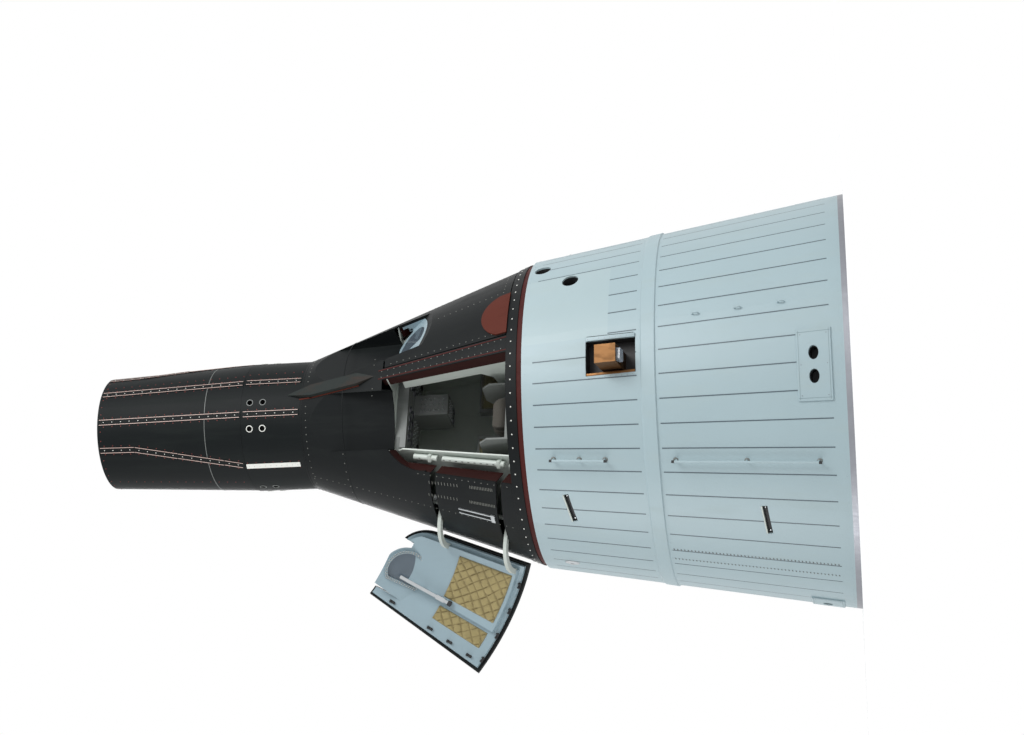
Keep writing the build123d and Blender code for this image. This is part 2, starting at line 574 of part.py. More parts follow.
# Thruster cylinder and nose section
thruster_section = turned([(CYLINDER_RADIUS, CYLINDER_BASE_Z), (CYLINDER_RADIUS, NOSE_BASE_Z),
                           (CYLINDER_RADIUS - NOSE_WALL, NOSE_BASE_Z),
                           (CYLINDER_RADIUS - NOSE_WALL, CYLINDER_BASE_Z)])
CYLINDER_PAIRS = (-5.5, -29.0)
CYLINDER_NOZZLE_HEIGHTS = (CABIN_BASE_Z + 2185.0, CABIN_BASE_Z + 2085.0)
CYLINDER_NOZZLE_RADIUS = 25.0
cylinder_nozzles = None
for turn in (0, 90, 180, 270):
    for pair in CYLINDER_PAIRS:
        for z in CYLINDER_NOZZLE_HEIGHTS:
            place = skin_plane(pair + turn, CYLINDER_RADIUS, z, 0.0)
            thruster_section -= place * Cylinder(CYLINDER_NOZZLE_RADIUS, 80)
            rim = 3.0 if pair == CYLINDER_PAIRS[1] else 0.0
            cup = extrude(Circle(CYLINDER_NOZZLE_RADIUS), amount=60)
            cup -= Pos(0, 0, 6) * extrude(Circle(CYLINDER_NOZZLE_RADIUS - 4), amount=60)
            cup = place * (Pos(0, 0, rim - 60) * cup)
            cylinder_nozzles = cup if cylinder_nozzles is None else cylinder_nozzles + cup
save(thruster_section, "thruster_section")
save(cylinder_nozzles, "cylinder_thrusters")
nose_section = shell_ring(NOSE_BASE_Z, NOSE_BACK_RADIUS, NOSE_TOP_Z, NOSE_FRONT_RADIUS, NOSE_WALL)
save(nose_section, "nose_section")
nose_cap = dome(NOSE_FRONT_RADIUS, NOSE_CAP_HEIGHT, NOSE_TOP_Z, 1)
save(nose_cap, "nose_cap")

# Hatches: the left one stands open, the right one is shut
def hatch_layer(depth_a, depth_b, inset, forward_gap=0.0):
    """Layer of the left hatch between two depths under the skin, narrowed by an inset."""
    low = HATCH_AFT_Z - 10
    high = HATCH_TIP_Z + 10
    body = turned([(cabin_radius(low) - depth_a, low), (cabin_radius(high) - depth_a, high),
                   (cabin_radius(high) - depth_b, high), (cabin_radius(low) - depth_b, low)])
    return body & hatch_cutter(0, forward_gap, inset)


def sector(angle_a, angle_b, z0=HATCH_AFT_Z - 400, z1=HATCH_TIP_Z + 600):
    return turned([(300, z0), (1500, z0), (1500, z1), (300, z1)], angle_a, angle_b - angle_a)


def window_outline(radius):
    """Round window with one flat side towards the cabin's middle."""
    flat = WINDOW_FLAT + radius - WINDOW_RADIUS
    round_part = Circle(radius) - Pos(flat + radius, 0) * Rectangle(2 * radius, 4 * radius)
    return Pos(0, WINDOW_PLACE) * round_part


def on_window(sketch, low, high):
    """Flat piece on the window's plane, between two heights over it."""
    return extrude(window_plane() * (Pos(0, 0, low) * sketch), amount=high - low)


hatch_skin = hatch_layer(0, HATCH_SKIN, 0) - window_cutter()
tray = hatch_layer(HATCH_SKIN, HATCH_TRAY_DEPTH, HATCH_TRAY_INSET)
deep = hatch_layer(HATCH_SKIN, HATCH_PAN_DEPTH, HATCH_PAN_INSET) & sector(-60, HATCH_STEP_ANGLE)
hollow = hatch_layer(HATCH_SKIN - 2, HATCH_PAN_DEPTH - HATCH_PAN_WALL, HATCH_PAN_INSET + HATCH_PAN_WALL)
hollow &= sector(-60, HATCH_STEP_ANGLE - 0.5)
hatch_pan = tray + deep - hollow - window_cutter(WINDOW_FRAME)
window_frame = hatch_layer(0, HATCH_SKIN, 4) + hatch_layer(HATCH_SKIN, HATCH_TRAY_DEPTH, HATCH_TRAY_INSET)
window_frame += hatch_layer(HATCH_TRAY_DEPTH, WINDOW_DEPTH, WINDOW_INSET, WINDOW_INSET - WINDOW_TIP_INSET)
window_frame &= window_cutter(WINDOW_FRAME)
window_frame = window_frame - window_cutter() - hatch_skin
frame_corner = Pos(-300, WINDOW_PLACE + 340) * Rectangle(600, 600) - Pos(0, WINDOW_PLACE) * Circle(WINDOW_CORNER)
window_frame -= on_window(frame_corner, -WINDOW_FRAME - 20, 20)
window_frame += on_window(window_outline(WINDOW_RADIUS + WINDOW_RING_WIDTH),
                          -WINDOW_FRAME - WINDOW_RING_HEIGHT, -WINDOW_FRAME)
window_frame -= on_window(window_outline(WINDOW_RADIUS), -60, 20)
window_frame -= apex_ball(HATCH_REACH)
hatch_pan -= window_frame
hatch_glass = on_window(window_outline(WINDOW_RADIUS), -WINDOW_FRAME, -2)


def hatch_pad(angle_a, angle_b, z0, z1, depth, height):
    return turned([(cabin_radius(z0) - depth, z0), (cabin_radius(z1) - depth, z1),
                   (cabin_radius(z1) - depth - height, z1), (cabin_radius(z0) - depth - height, z0)],
                  angle_a, angle_b - angle_a)


PAD_HEIGHT = 24.0
hatch_pads = hatch_pad(-48, -24.5, CABIN_BASE_Z + 200, CABIN_BASE_Z + 604, HATCH_PAN_DEPTH, PAD_HEIGHT)
hatch_pads += hatch_pad(-19.5, -12, CABIN_BASE_Z + 214, CABIN_BASE_Z + 614, HATCH_TRAY_DEPTH, PAD_HEIGHT)

# Latch bar with its two stands
LATCH_ANGLE = -22.8
LATCH_LOW_Z = CABIN_BASE_Z + 544.0
LATCH_HIGH_Z = CABIN_BASE_Z + 914.0
latch_low = spot(LATCH_ANGLE, cabin_radius(LATCH_LOW_Z) - HATCH_PAN_DEPTH - 24, LATCH_LOW_Z)
latch_high = spot(LATCH_ANGLE, cabin_radius(LATCH_HIGH_Z) - 152, LATCH_HIGH_Z)
latch_plane = Plane(origin=latch_low, x_dir=meridian_plane(LATCH_ANGLE).z_dir, z_dir=latch_high - latch_low)
latch_length = (latch_high - latch_low).length
latch_bar = latch_plane * Box(24, 16, latch_length, align=(Align.CENTER, Align.CENTER, Align.MIN))
latch_bar += latch_plane * (Pos(0, 0, 30) * Box(34, 26, 70, align=(Align.CENTER, Align.CENTER, Align.MIN)))
for stand_share in (0.10, 0.52):
    stand_z = LATCH_LOW_Z + (LATCH_HIGH_Z - LATCH_LOW_Z) * stand_share
    stand = Box(60, 20, 22, align=(Align.MAX, Align.CENTER, Align.CENTER))
    reach_in = cabin_radius(LATCH_LOW_Z) - HATCH_PAN_DEPTH - 24
    radius_here = reach_in + (cabin_radius(LATCH_HIGH_Z) - 152 - reach_in) * stand_share
    latch_bar += meridian_plane(LATCH_ANGLE) * (Pos(radius_here + 60, stand_z, 0) * stand)
latch_bar -= hatch_pan
latch_bar -= hatch_layer(HATCH_SKIN - 30, HATCH_PAN_DEPTH - 1, 0)
latch_bar -= window_frame


def hinge_arm(arm_z):
    reach = cabin_radius(arm_z)
    line = ThreePointArc((0, 0), (reach * 0.21, -reach * 0.15), (reach * 0.505, -reach * 0.075))
    profile = Circle(PIVOT_TUBE_RADIUS + 14) + trace(line, ARM_WIDTH)
    return pivot_plane(arm_z) * extrude(profile, amount=ARM_THICKNESS / 2, both=True)


def along_pivot(z0, z1, radius):
    low = pivot_plane(z0).origin
    high = pivot_plane(z1).origin
    plane = Plane(origin=low, x_dir=pivot_plane(z0).x_dir, z_dir=high - low)
    return plane * Cylinder(radius, (high - low).length, align=(Align.CENTER, Align.CENTER, Align.MIN))


BEARING_OFFSET = 60.0
BEARING_WIDTH = 24.0
PIVOT_PLAY = 0.05
tube_low_z = ARM_HEIGHTS[0] - BEARING_OFFSET - 20
tube_high_z = ARM_HEIGHTS[1] + BEARING_OFFSET + 20
hatch_arms = hinge_arm(ARM_HEIGHTS[0]) + hinge_arm(ARM_HEIGHTS[1]) + along_pivot(tube_low_z, tube_high_z,
                                                                                 PIVOT_TUBE_RADIUS)
hatch_arms -= hatch_pan
hatch_arms -= hollow
hatch_pieces = {"skin": hatch_skin, "pan": hatch_pan, "arms": hatch_arms, "window_frame": window_frame,
                "glass": hatch_glass, "pads": hatch_pads, "latch_bar": latch_bar}
for piece_name, piece in hatch_pieces.items():
    save(opened(piece), "left_hatch_" + piece_name)
    save(mirrored(piece), "right_hatch_" + piece_name)

# Hinge bearings under the skin, one near each end of each hinge tube
bearings = []
for block_z in (ARM_HEIGHTS[0] - BEARING_OFFSET, ARM_HEIGHTS[1] + BEARING_OFFSET):
    block = Box(70, cabin_radius(block_z) * (1 - PIVOT_SHARE) + 60, BEARING_WIDTH,
                align=(Align.CENTER, Align.MIN, Align.CENTER))
    bearings.append(pivot_plane(block_z) * (Pos(0, -34, 0) * block))
bearing = (bearings[0] + bearings[1]) & skin_inside
bearing -= along_pivot(tube_low_z - 50, tube_high_z + 50, PIVOT_TUBE_RADIUS + PIVOT_PLAY)
save(bearing + mirrored(bearing), "hatch_bearings")

# Seats: a back across the aft end with raised sides, a pan along the floor side and a headrest
SEAT_X = 330.0
SEAT_WIDTH = 460.0
SEAT_BACK_Z = TUB_AFT_Z + TUB_WALL
SEAT_DEPTH = 60.0
SEAT_TOP_Y = -700.0
SEAT_FLOOR_Y = 160.0
SEAT_PAN_LENGTH = 420.0
SEAT_SIDE = 14.0
SEAT_SIDE_HEIGHT = 250.0
seats = None
rests = None
cushions = None
for way in (-1, 1):
    back = Box(SEAT_WIDTH, SEAT_FLOOR_Y - SEAT_TOP_Y, SEAT_DEPTH,
               align=(Align.CENTER, Align.MIN, Align.MIN))
    frame = Pos(way * SEAT_X, SEAT_TOP_Y, SEAT_BACK_Z) * back
    pan = Box(SEAT_WIDTH, SEAT_DEPTH, SEAT_PAN_LENGTH, align=(Align.CENTER, Align.MAX, Align.MIN))
    frame += Pos(way * SEAT_X, SEAT_FLOOR_Y, SEAT_BACK_Z) * pan
    top_z = SEAT_BACK_Z + SEAT_SIDE_HEIGHT
    side_face = Plane.YZ * Polygon((SEAT_TOP_Y, SEAT_BACK_Z), (SEAT_TOP_Y, top_z - 60),
                                   (SEAT_TOP_Y + 60, top_z), (SEAT_TOP_Y + 230, top_z),
                                   (SEAT_TOP_Y + 420, SEAT_BACK_Z + 110),
                                   (SEAT_FLOOR_Y - 60, SEAT_BACK_Z + 110), (SEAT_FLOOR_Y - 60, SEAT_BACK_Z),
                                   align=None)
    side = extrude(side_face, amount=SEAT_SIDE / 2, both=True)
    for edge in (-1, 1):
        frame += Pos(way * SEAT_X + edge * (SEAT_WIDTH - SEAT_SIDE) / 2, 0, 0) * side
    rest = Box(250, 170, 120, align=(Align.CENTER, Align.MIN, Align.MIN))
    rest = Pos(way * SEAT_X, SEAT_TOP_Y + 20, SEAT_BACK_Z + SEAT_DEPTH) * rest
    strut = Box(SEAT_WIDTH - 2 * SEAT_SIDE, 24, 60, align=(Align.CENTER, Align.MIN, Align.MIN))
    frame += Pos(way * SEAT_X, SEAT_TOP_Y + 196, SEAT_BACK_Z + SEAT_DEPTH) * strut
    cushion = Box(SEAT_WIDTH - 60, 560, 50, align=(Align.CENTER, Align.MIN, Align.MIN))
    cushion = Pos(way * SEAT_X, SEAT_TOP_Y + 240, SEAT_BACK_Z + SEAT_DEPTH) * cushion
    lap_length = SEAT_PAN_LENGTH - SEAT_DEPTH - 70
    lap = Box(SEAT_WIDTH - 60, 45, lap_length, align=(Align.CENTER, Align.MAX, Align.MIN))
    cushion += Pos(way * SEAT_X, SEAT_FLOOR_Y - SEAT_DEPTH, SEAT_BACK_Z + SEAT_DEPTH + 60) * lap
    seats = frame if seats is None else seats + frame
    rests = rest if rests is None else rests + rest
    cushions = cushion if cushions is None else cushions + cushion
save(seats, "seats")
save(rests, "headrests")
save(cushions, "seat_cushions")

# Quilted pads on the cabin's side walls beside the seats
SIDE_PAD_Z = CABIN_BASE_Z + 354.0
side_pads = None
for way in (-1, 1):
    wall_x = cabin_radius(SIDE_PAD_Z) * TUB_SIDE_SHARE - TUB_WALL
    pad = Plane.YZ * Polygon((-500, SIDE_PAD_Z - 215), (-450, SIDE_PAD_Z + 60), (-120, SIDE_PAD_Z + 60),
                             (-120, SIDE_PAD_Z - 215), align=None)
    pad = extrude(pad, amount=14, both=True)
    lean = math.degrees(math.atan(TAN_CABIN * TUB_SIDE_SHARE))
    pad = Pos(way * (wall_x - 15), 0, SIDE_PAD_Z) * (Rotation(0, -way * lean, 0) * (Pos(0, 0, -SIDE_PAD_Z) * pad))
    side_pads = pad if side_pads is None else side_pads + pad
save(side_pads - tub, "side_pads")

# White web between the two hatches: a deep beam ahead and a post aft, with three lightening holes
PANEL_DEPTH = 82.0
panel_z = TUB_FORWARD_Z - TUB_WALL - PANEL_DEPTH
web_low = TUB_AFT_Z + TUB_WALL
WEB_DEPTH = 275.0
ARCH_HIGH_Z = CABIN_BASE_Z + 614.0
ARCH_LOW_Z = CABIN_BASE_Z + 374.0
WEB_POST_Z = CABIN_BASE_Z + 289.0
WEB_POST_Y = -370.0
WEB_HALF_THICKNESS = 22.0
WEB_HOLES = (CABIN_BASE_Z + 276.0, CABIN_BASE_Z + 422.0, CABIN_BASE_Z + 570.0)
web_clear = CABIN_SKIN + 0.6
web_face = Plane.YZ * Polygon((-cabin_radius(web_low) + web_clear, web_low),
                              (-cabin_radius(panel_z) + web_clear, panel_z),
                              (-cabin_radius(panel_z) + WEB_DEPTH - 40, panel_z),
                              (-cabin_radius(ARCH_HIGH_Z) + WEB_DEPTH, ARCH_HIGH_Z),
                              (-cabin_radius(ARCH_LOW_Z) + WEB_DEPTH + 20, ARCH_LOW_Z),
                              (-cabin_radius(WEB_POST_Z) + WEB_DEPTH + 110, WEB_POST_Z),
                              (WEB_POST_Y, WEB_POST_Z - 50),
                              (WEB_POST_Y, web_low), align=None)
web = extrude(web_face, amount=WEB_HALF_THICKNESS, both=True) - aft_ring
for z in WEB_HOLES:
    y = -cabin_radius(z) + 118
    hole = Plane.YZ * Polygon((y - 46, z + 26), (y - 46, z - 26), (y + 10, z - 26), (y + 48, z - 4),
                              (y + 48, z + 8), (y + 10, z + 26), align=None)
    web -= extrude(hole, amount=80, both=True)
save(web, "centre_web")

# Round-nosed sill along the outboard edge of each opening
SILL_ANGLE = -50.6
SILL_SHARE = 0.845
SILL_RADIUS = 22.0
SILL_HIGH_Z = CABIN_BASE_Z + 894.0
sill_a = spot(SILL_ANGLE, cabin_radius(web_low) * SILL_SHARE, web_low)
sill_b = spot(SILL_ANGLE, cabin_radius(SILL_HIGH_Z) * SILL_SHARE, SILL_HIGH_Z)
sill = Plane(origin=sill_a, z_dir=sill_b - sill_a) * Cylinder(SILL_RADIUS, (sill_b - sill_a).length,
                                                            align=(Align.CENTER, Align.CENTER, Align.MIN))
sill_web_face = meridian_plane(SILL_ANGLE) * Polygon(
    (cabin_radius(web_low) * 0.79, web_low + 2), (cabin_radius(web_low) * 0.84, web_low + 2),
    (cabin_radius(SILL_HIGH_Z) * 0.84, SILL_HIGH_Z), (cabin_radius(SILL_HIGH_Z) * 0.79, SILL_HIGH_Z),
    align=None)
sill += extrude(sill_web_face, amount=5, both=True)
for arm_z in ARM_HEIGHTS:
    sill -= arm_slot(arm_z)
sill -= Pos(0, 0, web_low - 100) * Cylinder(1500, 200)
sill -= tub
sill -= aft_ring
save(sill + mirrored(sill), "hatch_sills")

# Instrument panel and the console under it
panel = Pos(0, -215, panel_z) * Box(900, 430, PANEL_DEPTH, align=(Align.CENTER, Align.CENTER, Align.MIN))
panel_cut = trough_cutter(TROUGH_WALL + TUB_CLEARANCE)
save(panel - panel_cut - mirrored(panel_cut), "instrument_panel")
console = Pos(0, -120, panel_z) * Box(170, 240, 260, align=(Align.CENTER, Align.CENTER, Align.MAX))
save(console, "centre_console")

# Flat straps along the nose and the thruster cylinder, and the pale bars ahead of the cabin
def strap_between(angle_a, z_a, angle_b, z_b, radius_of, half_angle, width, proud):
    """Flat strap between two places on a cone's skin, which it touches along its middle."""
    start = spot(angle_a, radius_of(z_a), z_a)
    end = spot(angle_b, radius_of(z_b), z_b)
    middle = skin_plane((angle_a + angle_b) / 2, 1.0, 0, half_angle)
    sagitta = radius_of((z_a + z_b) / 2) * (1 - math.cos(math.radians(angle_b - angle_a) / 2))
    plane = Plane(origin=start + middle.z_dir * sagitta, x_dir=end - start, z_dir=middle.z_dir)
    return plane * Box((end - start).length, width, proud, align=(Align.MIN, Align.CENTER, Align.MIN))


def cylinder_radius(z):
    return CYLINDER_RADIUS


# Each strap: angle and height at its two ends, then its width. On the nose a height is a share of
# the nose's length
NOSE_STRAPS = ((-16.0, 0.995, -16.0, 0.007, 44.0), (-44.5, 0.995, -44.5, 0.745, 44.0),
               (-44.5, 0.745, -52.0, 0.451, 44.0), (-52.0, 0.451, -60.0, 0.141, 44.0),
               (-60.0, 0.141, -63.5, 0.007, 44.0))
CYLINDER_STRAPS = ((-16.0, CABIN_BASE_Z + 2244.0, -16.0, CABIN_BASE_Z + 1804.0, 44.0),)
CYLINDER_BAR = (-64.0, CABIN_BASE_Z + 2244.0, -64.0, CABIN_BASE_Z + 1826.0, 36.0)
STRAP_PROUD = 4.0
CYLINDER_BAR_PROUD = 9.0


def strap_set(table, radius_of, half_angle, proud):
    joined = None
    for angle_a, z_a, angle_b, z_b, width in table:
        piece = strap_between(angle_a, z_a, angle_b, z_b, radius_of, half_angle, width, proud)
        joined = piece if joined is None else joined + piece
    return joined + mirrored(joined)


nose_table = []
for angle_a, share_a, angle_b, share_b, width in NOSE_STRAPS:
    z_a = NOSE_BASE_Z + (NOSE_TOP_Z - NOSE_BASE_Z) * share_a
    z_b = NOSE_BASE_Z + (NOSE_TOP_Z - NOSE_BASE_Z) * share_b
    nose_table.append((angle_a, z_a, angle_b, z_b, width))
save(strap_set(nose_table, nose_radius, NOSE_HALF_ANGLE, STRAP_PROUD), "nose_straps")
save(strap_set(CYLINDER_STRAPS, cylinder_radius, 0.0, STRAP_PROUD), "cylinder_straps")
angle_a, z_a, angle_b, z_b, width = CYLINDER_BAR
bar = strap_between(angle_a, z_a, angle_b, z_b, cylinder_radius, 0.0, width, CYLINDER_BAR_PROUD)
save(bar + bar.rotate(Axis.Z, 180), "cylinder_bars")

# Raised cover over the cables that cross from the adapter to the cabin, near the aft ring
COVER_ANGLE = 15.0
COVER_HALF_ARC = 10.5
COVER_PROUD = 16.0
COVER_HIGH_Z = CABIN_BASE_Z + 354.0
cover_shell = turned([(cabin_radius(SKIN_BASE_Z), SKIN_BASE_Z),
                      (cabin_radius(SKIN_BASE_Z) + COVER_PROUD, SKIN_BASE_Z),
                      (cabin_radius(COVER_HIGH_Z) + COVER_PROUD, COVER_HIGH_Z),
                      (cabin_radius(COVER_HIGH_Z), COVER_HIGH_Z)],
                     COVER_ANGLE - COVER_HALF_ARC, 2 * COVER_HALF_ARC)
cover_outline = Circle(215) + Pos(0, -200) * Rectangle(430, 400)
cover_plane = skin_plane(COVER_ANGLE, cabin_radius(SKIN_BASE_Z), SKIN_BASE_Z, CABIN_HALF_ANGLE)
cover = cover_shell & (cover_plane * extrude(cover_outline, amount=120, both=True))
save(cover, "cable_cover")

# Ridge ahead of the hatches, over the joint of the cabin and the thruster cylinder: pointed at both
# ends, its sides given as half width and height
RIDGE_SIDES = ((0.0, CABIN_BASE_Z + 1174.0), (44.0, CABIN_BASE_Z + 1314.0),
               (44.0, CABIN_BASE_Z + 1699.0), (0.0, CABIN_BASE_Z + 1906.0))
RIDGE_PROUD = 38.0
ridge_points = list(RIDGE_SIDES) + [(-half, z) for half, z in RIDGE_SIDES[2:0:-1]]
ridge_outline = Plane.XZ * Polygon(*ridge_points, align=None)
ridge_low, ridge_back, ridge_front, ridge_high = [z for half, z in RIDGE_SIDES]
ridge_shell = turned([(cabin_radius(ridge_low), ridge_low),
                      (cabin_radius(ridge_back) + RIDGE_PROUD, ridge_back),
                      (CYLINDER_RADIUS + RIDGE_PROUD, CYLINDER_BASE_Z), (CYLINDER_RADIUS, ridge_high),
                      (CYLINDER_RADIUS, CYLINDER_BASE_Z)], -10, 20)
save(ridge_shell & extrude(ridge_outline, amount=1000), "cabin_ridge")

# Rails on the skin beside each hinge, ahead of the aft arm's path, joined by a plate at their aft end
HINGE_RAIL_ANGLES = (-72.5, -75.0)
HINGE_RAIL_Z = CABIN_BASE_Z + 436.0
HINGE_RAIL_LENGTH = 296.0
HINGE_PLATE_Z = CABIN_BASE_Z + 314.0
hinge_rails = None
for angle in HINGE_RAIL_ANGLES:
    rail_plane = skin_plane(angle, cabin_radius(HINGE_RAIL_Z), HINGE_RAIL_Z, CABIN_HALF_ANGLE)
    bar = rail_plane * Box(10, HINGE_RAIL_LENGTH, 16)
    hinge_rails = bar if hinge_rails is None else hinge_rails + bar
plate_angle = sum(HINGE_RAIL_ANGLES) / 2
rail_plane = skin_plane(plate_angle, cabin_radius(HINGE_PLATE_Z), HINGE_PLATE_Z, CABIN_HALF_ANGLE)
hinge_rails += rail_plane * Box(74, 30, 20)
hinge_rails -= cabin_core(1.0, SKIN_BASE_Z, CYLINDER_BASE_Z)
save(hinge_rails + mirrored(hinge_rails), "hinge_rails")

# Handrails on the adapter
RAIL_RADIUS = 9.0
RAIL_STAND = 42.0
RAIL_ANGLE = -43.7
rail_shape = None
for low, high in ((217, 1235), (1689, 2099)):
    plane = skin_plane(RAIL_ANGLE, adapter_radius((low + high) / 2), (low + high) / 2, ADAPTER_HALF_ANGLE)
    length = high - low
    bar = plane * (Pos(0, 0, RAIL_STAND) * (Rotation(90, 0, 0) * Cylinder(RAIL_RADIUS, length)))
    rail_shape = bar if rail_shape is None else rail_shape + bar
    for foot_y in (20 - length / 2, 0, length / 2 - 20):
        rail_shape += plane * (Pos(0, foot_y, RAIL_STAND / 2) * Cylinder(RAIL_RADIUS - 1, RAIL_STAND))
save(rail_shape - adapter_solid, "handrails")
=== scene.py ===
import json
import math

import bmesh
import bpy
from mathutils import Matrix, Vector


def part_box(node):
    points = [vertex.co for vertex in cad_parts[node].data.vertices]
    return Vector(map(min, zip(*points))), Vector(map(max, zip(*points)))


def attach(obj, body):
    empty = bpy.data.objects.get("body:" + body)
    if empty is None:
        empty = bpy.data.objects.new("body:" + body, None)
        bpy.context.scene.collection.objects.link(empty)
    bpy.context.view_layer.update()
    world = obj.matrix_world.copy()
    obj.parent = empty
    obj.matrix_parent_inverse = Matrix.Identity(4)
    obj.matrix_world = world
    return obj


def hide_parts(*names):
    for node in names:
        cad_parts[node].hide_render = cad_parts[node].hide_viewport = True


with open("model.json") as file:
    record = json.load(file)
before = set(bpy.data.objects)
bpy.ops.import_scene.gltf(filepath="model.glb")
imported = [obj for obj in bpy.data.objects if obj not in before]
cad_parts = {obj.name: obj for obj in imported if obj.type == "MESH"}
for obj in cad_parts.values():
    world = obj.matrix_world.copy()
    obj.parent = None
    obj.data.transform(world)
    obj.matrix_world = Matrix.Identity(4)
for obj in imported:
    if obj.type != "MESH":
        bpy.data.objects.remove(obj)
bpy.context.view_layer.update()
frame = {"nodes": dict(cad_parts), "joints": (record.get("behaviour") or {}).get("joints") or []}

# Sizes of the capsule in metres. Angles are degrees from -Y, positive towards +X.
BASE_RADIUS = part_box("base_ring")[1].x
ADAPTER_TOP_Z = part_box("retro_section")[1].z
ADAPTER_TOP_RADIUS = 1.155
BAND_LOW_Z, BAND_HIGH_Z = (corner.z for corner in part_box("separation_band"))
CABIN_RADIUS = 1.143
CABIN_LEAN = math.radians(20.0)
CABIN_SLOPE = math.tan(CABIN_LEAN)
APEX_Z = ADAPTER_TOP_Z + CABIN_RADIUS / CABIN_SLOPE
CYLINDER_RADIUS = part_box("thruster_section")[1].y
CYLINDER_LOW_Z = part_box("thruster_section")[0].z
NOSE_LOW_Z, NOSE_HIGH_Z = (corner.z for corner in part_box("nose_section"))
NOSE_LOW_RADIUS = 0.486
NOSE_HIGH_RADIUS = 0.430


def adapter(z):
    """Radius of the adapter's skin at a height."""
    return BASE_RADIUS + (ADAPTER_TOP_RADIUS - BASE_RADIUS) * z / ADAPTER_TOP_Z


def cabin(z):
    """Radius of the cabin's skin at a height."""
    return (APEX_Z - z) * CABIN_SLOPE


def cylinder(z):
    """Radius of the thruster cylinder, the same at every height."""
    return CYLINDER_RADIUS


def nose(z):
    """Radius of the nose section at a height."""
    share = (z - NOSE_LOW_Z) / (NOSE_HIGH_Z - NOSE_LOW_Z)
    return NOSE_LOW_RADIUS + (NOSE_HIGH_RADIUS - NOSE_LOW_RADIUS) * share


# Places
def spot(angle, radius, z):
    """Point at an angle, a radius from the long axis and a height."""
    around = math.radians(angle)
    return Vector((radius * math.sin(around), -radius * math.cos(around), z))


def axes_at(origin, x_axis, y_axis, z_axis):
    """Place with an origin and three axes."""
    place = Matrix((x_axis, y_axis, z_axis)).transposed().to_4x4()
    place.translation = origin
    return place


def shift(x, y, z):
    """Move along the three axes."""
    return Matrix.Translation((x, y, z))


def rotation(angle, axis="Z"):
    """Turn by degrees about an axis."""
    return Matrix.Rotation(math.radians(angle), 4, axis)


def stretch(x, y, z):
    """Size along the three axes."""
    return Matrix.Diagonal((x, y, z, 1.0))


def on_skin(skin, angle, z, lift=0.0, turn=0.0):
    """Place on a skin: x round the body, y up the skin, z outwards, then turned about z."""
    around = math.radians(angle)
    lean = math.atan(skin(0.0) - skin(1.0))
    outward = Vector((math.sin(around) * math.cos(lean), -math.cos(around) * math.cos(lean), math.sin(lean)))
    across = Vector((math.cos(around), math.sin(around), 0.0))
    origin = spot(angle, skin(z), z) + outward * lift
    return axes_at(origin, across, outward.cross(across), outward) @ rotation(turn)


def in_hatch(angle, z, depth, turn=0.0):
    """Place on the shut left hatch's inner side: z points into the cabin."""
    return on_skin(cabin, angle, z, -depth * math.cos(CABIN_LEAN), turn) @ rotation(180.0, "Y")


def row(skin, angle_a, z_a, angle_b, z_b, pitch):
    """Places in a row between two points on a skin."""
    length = (spot(angle_b, skin(z_b), z_b) - spot(angle_a, skin(z_a), z_a)).length
    count = max(1, round(length / pitch))
    shares = [index / count for index in range(count + 1)]
    return [on_skin(skin, angle_a + (angle_b - angle_a) * share, z_a + (z_b - z_a) * share) for share in shares]


def rows(skin, runs, pitch):
    """Places in several rows on one skin."""
    return [place for run in runs for place in row(skin, *run, pitch)]


# Hatch places: pieces are made on the left hatch as it lies shut, then put where each hatch is
MIRROR = Matrix.Scale(-1.0, 4, Vector((1.0, 0.0, 0.0)))
HALF_TURN = rotation(180.0)
left_hinge = next(joint for joint in frame["joints"] if joint["name"] == "left_hatch_hinge")
hinge_pivot = Matrix.Translation(Vector(left_hinge["pos_m"]))
hinge_turn = Matrix.Rotation(-math.radians(left_hinge["range_deg"][1]), 4, Vector(left_hinge["axis"]))
HATCH_PLACES = {"left_hatch": hinge_pivot @ hinge_turn @ hinge_pivot.inverted(), "right_hatch": MIRROR}


def both_sides(places, far=MIRROR):
    """Each place, followed by its copy on the far side."""
    return [copy for place in places for copy in (place, far @ place)]


# Shader parts
def link_or_set(tree, sockets, values):
    """Links each input to a node's output, or gives it a value."""
    for key, value in values.items():
        if isinstance(value, bpy.types.NodeSocket):
            tree.links.new(value, sockets[key])
        else:
            sockets[key].default_value = value


def shader_node(tree, kind, inputs, **settings):
    """Adds a node, sets its settings and its inputs, and returns its outputs."""
    made = tree.nodes.new(kind)
    for key, value in settings.items():
        setattr(made, key, value)
    link_or_set(tree, made.inputs, inputs)
    return made.outputs


def calc(tree, operation, first, second=0.0, third=0.0):
    """Output of a Math node."""
    return shader_node(tree, "ShaderNodeMath", {0: first, 1: second, 2: third}, operation=operation)[0]


def times(tree, first, second):
    """Product of two values."""
    return calc(tree, "MULTIPLY", first, second)


def remap(tree, value, low, high, to_low=0.0, to_high=1.0):
    """Output of a clamped Map Range node."""
    inputs = {"Value": value, "From Min": low, "From Max": high, "To Min": to_low, "To Max": to_high}
    return shader_node(tree, "ShaderNodeMapRange", inputs, clamp=True)[0]


def mixed(tree, factor, first, second):
    """Colour between two colours."""
    return shader_node(tree, "ShaderNodeMix", {0: factor, 6: first, 7: second}, data_type="RGBA")[2]


def here(tree):
    """Place of the shaded point."""
    return shader_node(tree, "ShaderNodeTexCoord", {})["Object"]


def drawn_out(tree, scale):
    """Place of the shaded point, stretched."""
    return shader_node(tree, "ShaderNodeMapping", {"Vector": here(tree), "Scale": scale})[0]


def clouds(tree, place, scale, detail, roughness=0.5):
    """Outputs of a Noise node: a value and a colour."""
    inputs = {"Vector": place, "Scale": scale, "Detail": detail, "Roughness": roughness}
    return shader_node(tree, "ShaderNodeTexNoise", inputs)


